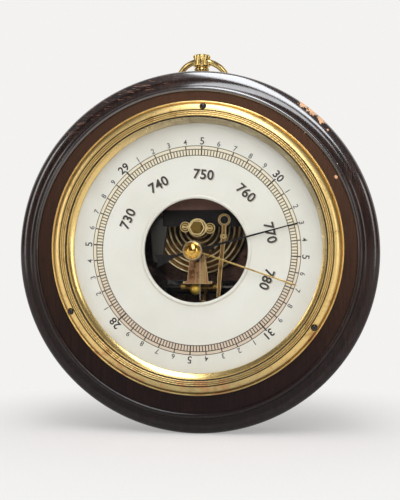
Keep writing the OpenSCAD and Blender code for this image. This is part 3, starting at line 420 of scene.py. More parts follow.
@dataclass(frozen=True)
class TurnedWood:
    """Dark stained wood, polished on its mouldings and satin on its flat band.

    Attributes:
        name: the material's name.
        band: radii between which the polish gives way to the flat band.
        cove: radii on each side of the cove between which its shade sets in.
        roll_r: radius over which the scratches lie.
        chips: places where the finish is gone to the wood.
        specks: small pale specks.
    """

    name: str = "stained_wood"
    band: tuple[float, float] = (88.2, 87.4)
    cove: tuple[float, float, float, float] = (90.6, 91.4, 94.4, 95.6)
    roll_r: float = 91.0
    chips: tuple[Chip, ...] = (
        Chip(36.0, 99.4, 28.4, 2.6), Chip(39.5, 99.6, 28.0, 3.2), Chip(43.6, 99.2, 28.6, 2.6),
        Chip(43.0, 87.4, 35.2, 0.9), Chip(62.0, 86.4, 34.4, 1.0), Chip(47.3, 97.6, 30.6, 0.8),
    )
    specks: tuple[Chip, ...] = (
        Chip(44.8, 91.6, 33.2, 0.55), Chip(52.6, 91.0, 34.0, 0.5), Chip(58.3, 90.6, 34.4, 0.5),
        Chip(63.2, 92.2, 32.6, 0.5),
    )

    def marks(self, paint: Paint, chips: tuple[Chip, ...]) -> Value:
        """Mask of the chips, ragged at their edges.

        Args:
            paint: the wood's paint.
            chips: the places.

        Returns:
            1 inside the chips and 0 elsewhere.
        """
        spot = paint.place()
        ragged = paint.noise(paint.place(1.0, 1.0, 0.5), 0.9, 4, 0.7)
        mask: Value | None = None
        for chip in chips:
            x, z = on_circle(chip.angle, chip.radius)
            away = paint.node("ShaderNodeVectorMath", {"operation": "DISTANCE"},
                              {0: spot, 1: (x, -chip.depth, z)}, output="Value")
            here = (away / chip.size + (ragged - 0.5) * 2.6).fade(1.05, 0.8)
            mask = here if mask is None else mask.high(here)
        return mask

    def material(self) -> bpy.types.Material:
        """The finished material."""
        paint = Paint(self.name)
        radius = paint.radius(0.0)
        across, _, up = paint.axes()
        grain = paint.noise(paint.place(0.9, 0.9, 0.05), 1.0, 6, 0.6, 0.6)
        figure = paint.noise(paint.place(0.10, 0.10, 0.012), 1.0, 4, 0.5, 1.2)
        pores = paint.noise(paint.place(5.0, 5.0, 0.35), 1.0, 2, 0.5).fade(0.60, 0.70)
        band = radius.fade(*self.band)
        cove = radius.fade(*self.cove[:2]) * radius.fade(self.cove[3], self.cove[2])
        colour = paint.mix(grain.fade(0.36, 0.64), tone(18, 9, 7), tone(54, 31, 20))
        colour = paint.mix(figure.fade(0.35, 0.7) * 0.6, colour, tone(32, 16, 12))
        # Painted light: the flat band is lightened towards the top, where the light falls.
        colour = paint.mix(band * (up.fade(-60, 80) * 0.42 + 0.08), colour, tone(98, 66, 46))
        # Painted shade and painted reflection: towards the bottom the wood is darkened and tinted purple,
        # standing for shade and a purple sheen there.
        colour = paint.mix(up.fade(-10, -90) * 0.75, colour, tone(18, 8, 13))
        # Painted shade: the wood is darkened towards the left side.
        colour = paint.mix(across.fade(10, -85) * 0.4, colour, tone(20, 10, 8))
        colour = paint.mix(pores * (band * 0.45 + 0.2), colour, tone(16, 9, 8))
        slant = paint.noise(paint.node("ShaderNodeMapping", values={
            "Vector": paint.place(), "Rotation": (0.0, math.radians(38), 0.0),
            "Scale": (0.14, 0.3, 3.4)}), 1.0, 3, 0.6).fade(0.60, 0.66)
        left_top = (across * -0.46 + up * 0.89).fade(86, 95) * radius.fade(self.roll_r, self.roll_r + 2.5)
        scratches = slant * left_top
        colour = paint.mix(scratches * 0.7, colour, tone(184, 132, 112))
        wear = paint.noise(paint.place(), 0.35, 5, 0.7)
        rubbed = wear.fade(0.60, 0.72) * radius.fade(98.0, 99.6) * 0.5
        colour = paint.mix(rubbed, colour, tone(118, 84, 62))
        bare = self.marks(paint, self.chips)
        colour = paint.mix(bare, colour, paint.mix(grain, tone(204, 146, 104), tone(244, 204, 164)))
        colour = paint.mix(self.marks(paint, self.specks), colour, tone(232, 226, 214))
        lines = paint.noise(paint.vector(radius * 2.2, 0.0, 0.0), 1.0, 2, 0.5)
        height = grain * 0.5 - pores * band + lines * 0.12 - bare * 6.0 - scratches * 0.8
        paint.surface({
            "Base Color": colour,
            "Roughness": 0.34 + band * 0.2 + (wear - 0.5) * 0.16 + bare * 0.3,
            "Normal": paint.bump(height, 0.009),
            "Coat Weight": (1.0 - bare) * (1.0 - band * 0.96) * (1.0 - cove * 0.5) * (
                up.fade(-30, 84) * 0.88 + 0.12 + (0.5 - wear) * 0.2),
            "Coat Roughness": 0.14,
            "Coat IOR": 2.2,
            "Specular IOR Level": 0.13,
        })
        return paint.material


@dataclass(frozen=True)
class Enamel:
    """Cream painted dial with age in it.

    Attributes:
        name: the material's name.
        scale: radii of the yellowed ring under the scale.
        edge: radii between which the dial darkens outwards, a painted shade under the bezel and sight ring.
        middle: radii between which it darkens inwards, a painted shade round the raised ring at the opening.
    """

    name: str = "enamelled_dial"
    scale: tuple[float, float] = (52.1, 57.7)
    edge: tuple[float, float] = (62.0, 75.0)
    middle: tuple[float, float] = (36.0, 29.5)

    def material(self) -> bpy.types.Material:
        """The finished material."""
        paint = Paint(self.name)
        spot = paint.place()
        radius = paint.radius()
        cloud = paint.noise(spot, 0.03, 5, 0.6)
        fine = paint.noise(spot, 0.8, 4, 0.6)
        dots = paint.cells(spot, 0.055).fade(0.035, 0.02) * paint.noise(spot, 0.02, 2).fade(0.5, 0.6)
        colour = paint.mix(cloud.fade(0.35, 0.75), tone(229, 228, 217), tone(221, 219, 205))
        inner, outer = self.scale
        scale = radius.fade(inner, inner + 0.3) * radius.fade(outer, outer - 0.3)
        yellowed = paint.mix(paint.axes()[2].fade(10, -45), tone(232, 221, 192), tone(212, 192, 166))
        colour = paint.mix(scale * 0.8, colour, yellowed)
        # Painted shade: the dial darkens towards its edge, under the bezel and sight ring.
        colour = paint.mix(radius.fade(*self.edge) * 0.3, colour, tone(210, 205, 186))
        # Painted shade: the dial greys inwards towards the raised ring round the opening.
        colour = paint.mix(radius.fade(*self.middle) * 0.25, colour, tone(214, 209, 190))
        colour = paint.mix(fine.fade(0.62, 0.8) * 0.12, colour, tone(190, 180, 150))
        colour = paint.mix(dots * 0.8, colour, tone(150, 128, 92))
        paint.surface({
            "Base Color": colour,
            "Roughness": 0.42 + (fine - 0.5) * 0.2,
            "Normal": paint.bump(fine + cloud * 3.0, 0.01),
            "Coat Weight": 0.15,
        })
        return paint.material


@dataclass(frozen=True)
class Ink:
    """Printed lines and numbers, a little worn.

    Attributes:
        name: the material's name.
        colour: the ink.
        paper: colour that shows where it is worn.
        low: how much darker and redder it is at the bottom of the dial, 0 to 1.
    """

    name: str
    colour: Colour
    paper: Colour
    low: float = 0.0

    def material(self) -> bpy.types.Material:
        """The finished material."""
        paint = Paint(self.name)
        spot = paint.place()
        worn = paint.noise(spot, 1.1, 5, 0.7).fade(0.6, 0.85)
        fine = paint.noise(spot, 5.0, 2)
        colour = paint.mix(paint.axes()[2].fade(10, -45) * self.low, self.colour, tone(72, 48, 36))
        paint.surface({
            "Base Color": paint.mix(worn * 0.45, colour, self.paper),
            "Roughness": 0.5 + (fine - 0.5) * 0.2,
            "Normal": paint.bump(fine, 0.004),
        })
        return paint.material


@dataclass(frozen=True)
class ClearGlass:
    """Thin clear glass with faint dust."""

    name: str = "clear_glass"

    def material(self) -> bpy.types.Material:
        """The finished material."""
        paint = Paint(self.name)
        spot = paint.place()
        dust = paint.noise(spot, 0.7, 5, 0.7).fade(0.62, 0.8)
        smear = paint.noise(paint.place(0.02, 0.02, 0.05), 1.0, 4)
        paint.surface({
            "Base Color": paint.mix(dust, tone(96, 98, 96), tone(220, 216, 206)),
            "Alpha": 0.014 + dust * 0.01 + (smear - 0.5) * 0.01,
            "Roughness": 0.04 + smear * 0.06,
            "IOR": 1.5,
        })
        return paint.material


# Meshes -----------------------------------------------------------------------


def meshed(name: str, data: bpy.types.ID, cut_by: bpy.types.Object | None = None) -> bpy.types.Mesh:
    """Makes a plain mesh of text, a curve or a mesh.

    Args:
        name: name of what holds it meanwhile.
        data: the text, curve or mesh.
        cut_by: an object whose shape is taken away from it.

    Returns:
        The mesh.
    """
    holder = bpy.data.objects.new(name, data)
    bpy.context.scene.collection.objects.link(holder)
    if cut_by is not None:
        cutter = holder.modifiers.new("cut", "BOOLEAN")
        cutter.object, cutter.operation, cutter.solver = cut_by, "DIFFERENCE", "EXACT"
    made = bpy.data.meshes.new_from_object(holder.evaluated_get(bpy.context.evaluated_depsgraph_get()))
    bpy.data.objects.remove(holder)
    return made


class Shape:
    """A mesh in the making, on its back: x right, y up the wall, z out of it, in millimetres."""

    def __init__(self) -> None:
        """Starts empty."""
        self.bm = bmesh.new()
        self.lying = True

    @classmethod
    def copied(cls, node: str) -> "Shape":
        """Starts from a solid's own mesh, merged, with its flat triangles joined.

        Args:
            node: the solid's name.

        Returns:
            The shape, which already stands in its place.
        """
        shape = cls()
        shape.lying = False
        shape.bm.from_mesh(frame["nodes"][node].data)
        bmesh.ops.remove_doubles(shape.bm, verts=shape.bm.verts, dist=2e-6)
        bmesh.ops.dissolve_limit(shape.bm, angle_limit=math.radians(0.8), verts=shape.bm.verts,
                                 edges=shape.bm.edges)
        return shape

    def lathe(self, outline: Outline, closed: bool = True, steps: int = 256,
              centre: tuple[float, float] = (0.0, 0.0)) -> list[bmesh.types.BMVert]:
        """Spins an outline of radius and height about an upright axis.

        Args:
            outline: points of radius and height.
            closed: joins the last point to the first.
            steps: pieces in a full turn.
            centre: where the axis stands.

        Returns:
            The outline's own corners, which the turn starts from.
        """
        first = [self.bm.verts.new((centre[0] + r, centre[1], z)) for r, z in outline]
        edges = [self.bm.edges.new(pair) for pair in zip(first, first[1:])]
        if closed:
            edges.append(self.bm.edges.new((first[-1], first[0])))
        bmesh.ops.spin(self.bm, geom=first + edges, cent=(*centre, 0.0), axis=(0.0, 0.0, 1.0),
                       dvec=(0.0, 0.0, 0.0), angle=math.tau, steps=steps, space=Matrix.Identity(4),
                       use_merge=True, use_duplicate=False)
        return first

    def plate(self, outline: Outline, low: float, high: float) -> list[bmesh.types.BMVert]:
        """Raises a flat outline into a plate.

        Args:
            outline: points of x and y.
            low: height of its back.
            high: height of its front.

        Returns:
            The corners of its front.
        """
        base = self.bm.faces.new([self.bm.verts.new((x, y, low)) for x, y in outline])
        made = bmesh.ops.extrude_face_region(self.bm, geom=[base])
        front = [v for v in made["geom"] if isinstance(v, bmesh.types.BMVert)]
        bmesh.ops.translate(self.bm, verts=front, vec=(0.0, 0.0, high - low))
        return front

    def write(self, text: str, height: float, bold: float, place: Matrix) -> None:
        """Adds raised numerals, centred on the origin before they are placed.

        Args:
            text: the numerals.
            height: their height in millimetres.
            bold: how far their outlines grow, as a share of the height.
            place: matrix that puts them in their place.
        """
        curve = bpy.data.curves.new("numeral", "FONT")
        curve.body, curve.offset, curve.extrude, curve.resolution_u = text, bold, 0.004, 4
        curve.space_character = 1.05
        before = len(self.bm.verts)
        self.bm.from_mesh(meshed("numeral", curve))
        self.bm.verts.ensure_lookup_table()
        verts = self.bm.verts[before:]
        low = [min(v.co[i] for v in verts) for i in range(2)]
        high = [max(v.co[i] for v in verts) for i in range(2)]
        size = height / (high[1] - low[1])
        middle = Matrix.Translation((-(low[0] + high[0]) / 2, -(low[1] + high[1]) / 2, 0.0))
        scale = Matrix.Diagonal((size, size, size, 1.0))
        bmesh.ops.transform(self.bm, matrix=place @ scale @ middle, verts=verts)

    def rod(self, radius: float, length: float, sides: int, place: Matrix) -> None:
        """Adds a round rod.

        Args:
            radius: its radius.
            length: its length.
            sides: faces round it.
            place: matrix that puts its middle in place.
        """
        bmesh.ops.create_cone(self.bm, cap_ends=True, segments=sides, radius1=radius, radius2=radius,
                              depth=length, matrix=place)

    def block(self, matrix: Matrix) -> None:
        """Adds a unit cube put in place by a matrix."""
        bmesh.ops.create_cube(self.bm, size=1.0, matrix=matrix)

    def ease(self, width: float, segments: int = 2, over: float = 32.0, finish: int = 0) -> "Shape":
        """Rounds the edges that are sharper than an angle.

        Args:
            width: width of the rounding, in millimetres.
            segments: faces across it.
            over: least angle between faces, in degrees.
            finish: number of the material that the rounding takes.

        Returns:
            The shape itself.
        """
        unit = 1.0 if self.lying else MM
        sharp = [e for e in self.bm.edges
                 if e.is_manifold and e.calc_face_angle(0.0) > math.radians(over)]
        bmesh.ops.bevel(self.bm, geom=sharp, offset=width * unit, offset_type="OFFSET",
                        segments=segments, profile=0.5, affect="EDGES", clamp_overlap=True,
                        material=finish or -1)
        return self

    def rim(self, width: float, finish: int) -> "Shape":
        """Gives the flat front faces a border of another finish.

        Args:
            width: width of the border, in millimetres.
            finish: number of the border's material.

        Returns:
            The shape itself.
        """
        self.bm.normal_update()
        front = [f for f in self.bm.faces if f.normal.y < -0.99 and f.material_index != finish]
        border = bmesh.ops.inset_region(self.bm, faces=front, thickness=width * MM, use_boundary=True,
                                        use_even_offset=True)
        for face in border["faces"]:
            face.material_index = finish
        return self

    def cut(self, tool: "Shape") -> "Shape":
        """Takes another shape away, which is used up.

        Args:
            tool: the shape to take away.

        Returns:
            The shape itself.
        """
        meshes = []
        for name, shape in (("body", self), ("tool", tool)):
            meshes.append(bpy.data.meshes.new(name))
            shape.bm.to_mesh(meshes[-1])
            shape.bm.free()
        knife = bpy.data.objects.new("tool", meshes[1])
        bpy.context.scene.collection.objects.link(knife)
        self.bm = bmesh.new()
        self.bm.from_mesh(meshed("body", meshes[0], knife))
        bpy.data.objects.remove(knife)
        return self

    def turn(self, clockwise: float) -> "Shape":
        """Turns what is drawn clockwise about the dial's axis, in degrees."""
        bmesh.ops.transform(self.bm, matrix=Matrix.Rotation(-math.radians(clockwise), 4, "Z"),
                            verts=self.bm.verts)
        return self

    def finish(self, name: str, look: bpy.types.Material, node: str, rise: float = DIAL_RISE,
               sharp: float = 38.0, place: Matrix | None = None, stands: bool = True) -> bpy.types.Object:
        """Puts the mesh in its place and makes the piece.

        Args:
            name: the piece's name.
            look: its material.
            node: the solid that it stands for or goes with.
            rise: how far up the wall its axis lies, in millimetres.
            sharp: least angle of an edge that is shaded sharp, in degrees.
            place: another placing, in millimetres, in the standing frame.
            stands: whether it takes the solid's place.

        Returns:
            The piece.
        """
        if self.lying:
            bmesh.ops.remove_doubles(self.bm, verts=self.bm.verts, dist=JOINED)
            stand = place or Matrix.Translation((0.0, 0.0, rise)) @ Matrix.Rotation(math.pi / 2, 4, "X")
            bmesh.ops.transform(self.bm, matrix=Matrix.Scale(MM, 4) @ stand, verts=self.bm.verts)
            bmesh.ops.recalc_face_normals(self.bm, faces=self.bm.faces)
        self.bm.normal_update()
        for face in self.bm.faces:
            face.smooth = True
        for edge in self.bm.edges:
            edge.smooth = not edge.is_manifold or edge.calc_face_angle(0.0) < math.radians(sharp)
        mesh = bpy.data.meshes.new(name)
        self.bm.to_mesh(mesh)
        self.bm.free()
        piece = bpy.data.objects.new(name, mesh)
        bpy.context.scene.collection.objects.link(piece)
        mesh.materials.append(look)
        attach(piece, BODY_OF[node])
        if stands:
            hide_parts(node)
        LOG.info("%s: %d faces, rides on %s", name, len(mesh.polygons), BODY_OF[node])
        return piece


def spot_on(clockwise: float, radius: float, height: float) -> Matrix:
    """Matrix that stands something on the dial, its top outwards, at a clockwise angle."""
    return Matrix.Rotation(-math.radians(clockwise), 4, "Z") @ Matrix.Translation((0.0, radius, height))


def eased_copy(node: str, look: bpy.types.Material, width: float = 0.12, sharp: float = 38.0,
               worn: bpy.types.Material | None = None, rim: float = 0.0) -> bpy.types.Object:
    """Stands a copy of a solid with rounded edges in its place.

    Args:
        node: the solid.
        look: the copy's material.
        width: width of the rounding in millimetres.
        sharp: least angle of an edge that is shaded sharp, in degrees.
        worn: material of the rounded edges, where it differs; in the movement this is a painted highlight.
        rim: width of a border on its front faces that takes the edge material too, in millimetres.

    Returns:
        The piece.
    """
    shape = Shape.copied(node).ease(width, segments=1 if worn else 2, finish=1 if worn else 0)
    if rim:
        shape.rim(rim, 1)
    piece = shape.finish(f"{node}_fine", look, node, sharp=sharp)
    if worn is not None:
        piece.data.materials.append(worn)
    return piece


# Case -------------------------------------------------------------------------


@dataclass
class Surround:
    """Turned wooden surround with its back cover.

    Attributes:
        outer_r: radius of the case.
        back_r: radius where the outline starts, on the back.
        back_round: rounding of the back edge.
        side_h: height of its straight side.
        roll_h: rise of the roll over the side.
        cove_r: radius where the roll meets the cove.
        cove_w: width of the cove.
        cove_d: rise of the cove.
        cove_h: height of the cove's upper edge.
        bead_r: radius of the bead's crest.
        bead_w: width of each half of the bead.
        bead_rise: rise of the bead over the cove.
        bead_fall: fall of the bead to the flat band.
        band_h: height of the flat band.
        band_split: radii on the flat band where the case's own rings end and the dial's begin.
        seat_r: radius of the dial's seat.
        seat_h: height of the dial's seat.
        can_r: radius of the movement's seat.
        can_h: height of the movement's seat.
        bore_r: radius of the bore.
        recess_r: radius of the back cover's recess.
        recess_d: depth of that recess.
    """

    outer_r: float = 100.0
    back_r: float = 74.0
    back_round: float = 2.0
    side_h: float = 27.0
    roll_h: float = 4.2
    cove_r: float = 94.6
    cove_w: float = 3.8
    cove_d: float = 2.2
    cove_h: float = 33.4
    bead_r: float = 89.3
    bead_w: float = 1.5
    bead_rise: float = 2.0
    bead_fall: float = 1.2
    band_h: float = 34.2
    band_split: tuple[float, float] = (84.2, 82.7)
    seat_r: float = 74.9
    seat_h: float = 29.2
    can_r: float = 70.2
    can_h: float = 26.5
    bore_r: float = 64.5
    recess_r: float = 69.0
    recess_d: float = 2.0

    def outer(self) -> Outline:
        """Outline from the back, over the mouldings, to the flat band."""
        edge = self.back_round
        return [
            (self.back_r, 0.0),
            *arc(self.outer_r - edge, edge, edge, edge, -90, 0, 6),
            *[(self.outer_r, self.side_h * i / 4 + 1) for i in range(1, 4)],
            *arc(self.cove_r, self.side_h, self.outer_r - self.cove_r, self.roll_h, 0, 90, 16),
            *arc(self.cove_r, self.cove_h, self.cove_w, self.cove_d, -90, -180, 12)[1:],
            *arc(self.bead_r, self.cove_h, self.bead_w, self.bead_rise, 0, 90, 12)[1:],
            *arc(self.bead_r, self.band_h, self.bead_w, self.bead_fall, 90, 180, 8)[1:],
            (self.band_split[0], self.band_h),
        ]

    def inner(self) -> Outline:
        """Outline of the steps inside, from the flat band to the back."""
        return [
            (self.band_split[1], self.band_h), (self.seat_r, self.band_h), (self.seat_r, self.seat_h),
            (self.can_r, self.seat_h), (self.can_r, self.can_h), (self.bore_r, self.can_h),
            (self.bore_r, self.recess_d), (self.recess_r, self.recess_d), (self.recess_r, 0.0),
        ]

    def build(self) -> None:
        """Makes the wood and the pieces screwed to its back."""
        wood = Shape()
        wood.lathe(self.outer(), closed=False)
        wood.lathe(self.inner(), closed=False, centre=(0.0, DIAL_RISE))
        bmesh.ops.remove_doubles(wood.bm, verts=wood.bm.verts, dist=JOINED)
        rims = [e for e in wood.bm.edges if e.is_boundary]
        for front in (True, False):
            pair = [e for e in rims if (e.verts[0].co.z > self.band_h / 2) is front]
            bmesh.ops.bridge_loops(wood.bm, edges=pair)
        wood.finish("turned_surround", TurnedWood().material(), "wood_surround", rise=0.0)
        board = Coat("black_board", tone(34, 32, 31), tone(84, 76, 66), share=0.5, rough=0.7, gloss=0.0,
                     grit=0.02)
        eased_copy("back_cover", board.material(), 0.3)
        screws = Metal("screw_brass", tone(196, 160, 96), tone(96, 72, 44), share=0.6, patch=0.8)
        eased_copy("back_cover_screws", screws.material(), 0.15)


# Bezel, glass and sight ring -----------------------------------------------------


@dataclass(frozen=True)
class BezelBrass(Metal):
    """Lacquered brass with a roped strip round its lip and dark spots where the lacquer failed.

    Attributes:
        lip_r: inner radius of the roped strip.
        ribs_r: outer radius of the roped strip, where the groove is.
        ribs_w: width of one rib.
        strands: turns of the rope round the bezel.
        slant: how far the rope's strands lean.
    """

    lip_r: float = 71.9
    ribs_r: float = 74.9
    ribs_w: float = 1.0
    strands: float = 210.0
    slant: float = 5.2

    def material(self) -> bpy.types.Material:
        """The finished material."""
        paint = self.paint()
        x, _, z = paint.axes(self.rise, self.shift)
        radius = paint.radius(self.rise, self.shift)
        turned = x.math("ARCTAN2", x, z) * self.strands + radius * self.slant
        rope = turned.math("SINE", turned)
        strip = radius.fade(self.lip_r - 0.1, self.lip_r + 0.2) * radius.fade(self.ribs_r, self.ribs_r - 0.3)
        stain = paint.noise(paint.place(), 0.10, 6, 0.72, 0.4)
        spots = stain.fade(0.63, 0.70) * radius.fade(self.ribs_r - 0.3, self.ribs_r + 0.5)
        # Painted shade and painted reflection: towards the bottom the brass is mixed to a dull olive, patchy
        # with the stain noise; low carries it.
        low = z.fade(-52, -76) * (stain * 0.8 + 0.2)
        colour = paint.mix(low, paint.given("Base Color"), tone(150, 144, 108))
        colour = paint.mix(stain.fade(0.50, 0.60) * z.fade(-30, -58) * 0.55, colour, tone(196, 132, 88))
        colour = paint.mix(spots * 0.7, colour, tone(70, 50, 30))
        colour = paint.mix(strip * (rope * 0.12 + 0.22), colour, tone(128, 88, 40))
        ribs = radius * (math.tau / self.ribs_w) + 0.6
        lines = ribs.math("COSINE", ribs).fade(0.35, 0.95) * strip
        colour = paint.mix(lines * 0.5, colour, tone(52, 34, 18))
        groove = radius.fade(self.ribs_r - 0.45, self.ribs_r - 0.15) * radius.fade(
            self.ribs_r + 0.55, self.ribs_r + 0.2)
        colour = paint.mix(groove * 0.85, colour, tone(30, 20, 12))
        paint.surface({
            "Base Color": colour,
            "Normal": paint.bump(rope * strip, 0.02, paint.given("Normal")),
        })
        return paint.material


@dataclass(frozen=True)
class SightBrass(Metal):
    """Bright plated ring with real mottling towards its top, where it is also painted pale grey as a painted
    reflection of the dial and darkened as painted shade.
    """

    def material(self) -> bpy.types.Material:
        """The finished material."""
        paint = self.paint()
        across, _, up = paint.axes(self.rise, self.shift)
        stain = paint.noise(paint.place(), 0.16, 6, 0.75, 0.5)
        # high marks the upper part: there the ring is painted pale grey and made less metallic as a painted
        # reflection of the dial, and its real mottling is darkened further as painted shade.
        high = (up * 0.8 + across * 0.45).fade(10.0, 62.0)
        mottle_and_shade = stain.fade(0.62, 0.50) * high
        colour = paint.mix(high * 0.75, paint.given("Base Color"), tone(184, 178, 154))
        colour = paint.mix(mottle_and_shade * 0.4, colour, tone(104, 96, 72))
        colour = paint.mix(stain.fade(0.64, 0.72) * 0.5, colour, tone(150, 118, 62))
        paint.surface({
            "Base Color": colour,
            "Roughness": paint.given("Roughness") + mottle_and_shade * 0.3,
            "Metallic": 1.0 - high * 0.5,
        })
        return paint.material


@dataclass
class Front:
    """Bezel with its screws, glass, seal and sight ring.

    Attributes:
        outer_r: radius of the bezel.
        rim_r: radius of the middle of its rolled rim.
        rim_h: height where the rolled rim meets the domed band.
        dome_w: width of the domed band.
        dome_rise: rise of the domed band.
        seat_r: inner radius of the bezel's seat.
        lip_r: inner radius of its lip.
        lip_h: height of the lip's underside.
        ribs_r: outer radius of its ribs.
        rib_t: height of the ribs.
        band_h: height of the wood under it.
        top_h: height of its lip.
        glass_r: radius of the glass.
        glass_h: height of the glass's back.
        glass_t: thickness of the glass.
        glass_edge: chamfer of the glass.
        sight_h: height of the sight ring's flange.
        screw_r: radius of the circle of screws.
        screw_seat: height from which the screws' seats are drilled.
        drill_r: radius of the screws' seats and of the hole in the glass.
        drill_l: length of the drill.
    """

    outer_r: float = 80.5
    rim_r: float = 79.9
    rim_h: float = 34.83
    dome_w: float = 4.1
    dome_rise: float = 3.87
    seat_r: float = 74.4
    lip_r: float = 71.9
    lip_h: float = 38.1
    ribs_r: float = 74.9
    rib_t: float = 0.5
    band_h: float = 34.2
    top_h: float = 39.2
    glass_r: float = 74.2
    glass_h: float = 35.8
    glass_t: float = 2.0
    glass_edge: float = 0.3
    sight_h: float = 35.3
    screw_r: float = 77.2
    screw_seat: float = 42.3
    drill_r: float = 1.95
    drill_l: float = 10.0

    @property
    def stand(self) -> Matrix:
        """Matrix that stands a lying piece up on the bezel's axis."""
        return Matrix.Translation((FRONT_SHIFT, 0.0, FRONT_RISE)) @ Matrix.Rotation(math.pi / 2, 4, "X")

    def bezel_outline(self) -> Outline:
        """Section of the bezel: seat, rolled rim, domed band, groove and three ribs."""
        rib = (self.ribs_r - self.lip_r) / 3
        ribs = [
            point for i in range(3)
            for point in arc(self.ribs_r - (i + 0.5) * rib, self.top_h - self.rib_t, rib / 2, self.rib_t,
                             0, 180, 8)[:-1]
        ]
        return [
            (self.seat_r, self.band_h), (self.outer_r, self.band_h),
            *arc(self.rim_r, self.band_h + 0.7, 0.6, 0.7, -30, 180, 14)[2:], (self.rim_r - 0.6, self.rim_h),
            *arc(self.ribs_r + 0.3, self.rim_h, self.dome_w, self.dome_rise, 24, 90, 16),
            (self.ribs_r, self.top_h - 1.1), *ribs, (self.lip_r, self.top_h - self.rib_t),
            (self.lip_r, self.lip_h), (self.seat_r, self.lip_h),
        ]

    def bezel(self) -> None:
        """Turns the bezel and sinks its three screw seats."""
        ring = Shape()
        ring.lathe(self.bezel_outline(), steps=288)
        bmesh.ops.remove_doubles(ring.bm, verts=ring.bm.verts, dist=JOINED)
        bmesh.ops.recalc_face_normals(ring.bm, faces=ring.bm.faces)
        seats = Shape()
        for i in range(3):
            place = spot_on(DIAL_TURN + 120 * i, self.screw_r, self.screw_seat)
            seats.rod(self.drill_r, self.drill_l, 32, place)
        brass = BezelBrass("lacquered_brass", tone(240, 206, 136), tone(176, 138, 76), share=0.36,
                           polish=0.36, dull=0.46, grain=Grain.TURNED, marks=0.003, spots=0.6,
                           rise=FRONT_RISE, shift=FRONT_SHIFT)
        ring.cut(seats).finish("turned_bezel", brass.material(), "bezel", place=self.stand)

    def sight(self) -> None:
        """Sloping ring between dial and glass."""
        cone = Shape()
        cone.lathe([
            *arc(68.95, 30.3, 0.25, 0.3, 180, 90, 4), *arc(64.8, 36.4, 8.4, 6.4, -58, -14, 10),
            (73.4, self.sight_h), (self.glass_r, self.sight_h), (self.glass_r, self.glass_h),
            (71.7, self.glass_h), (71.7, self.sight_h + 0.1),
            *arc(64.2, 36.4, 8.4, 6.4, -12, -56, 10),
        ])
        brass = SightBrass("bright_brass", tone(240, 208, 138), tone(168, 130, 70), share=0.3,
                           polish=0.22, dull=0.4, grain=Grain.TURNED, marks=0.003, spots=0.4,
                           rise=FRONT_RISE, shift=FRONT_SHIFT)
        cone.finish("sloping_ring", brass.material(), "sight_ring", place=self.stand)

    def glass(self) -> None:
        """Round glass with a hole in its middle."""
        low, high, edge = self.glass_h, self.glass_h + self.glass_t, self.glass_edge
        disc = Shape()
        disc.lathe([
            (0.0, low), (self.glass_r - edge, low), (self.glass_r, low + edge),
            (self.glass_r, high - edge), (self.glass_r - edge, high), (0.0, high),
        ], closed=False, steps=192)
        hole = Shape()
        hole.rod(self.drill_r, self.drill_l, 48,
                 Matrix.Translation((-FRONT_SHIFT, DIAL_RISE - FRONT_RISE, self.glass_h)))
        disc.cut(hole).finish("round_glass", ClearGlass().material(), "glass", place=self.stand)

    def build(self) -> None:
        """Makes every piece of the front."""
        self.bezel()
        self.sight()
        self.glass()
        rubber = Coat("black_rubber", tone(26, 24, 23), tone(92, 82, 64), share=0.35, rough=0.6,
                      gloss=0.0)
        eased_copy("glass_seal", rubber.material(), 0.06)
        steel = Coat("blackened_steel", tone(22, 21, 22), tone(74, 62, 50), share=0.35, rough=0.3,
                     gloss=0.6)
        eased_copy("bezel_screws", steel.material(), 0.1, sharp=50)


# Dial --------------------------------------------------------------------------


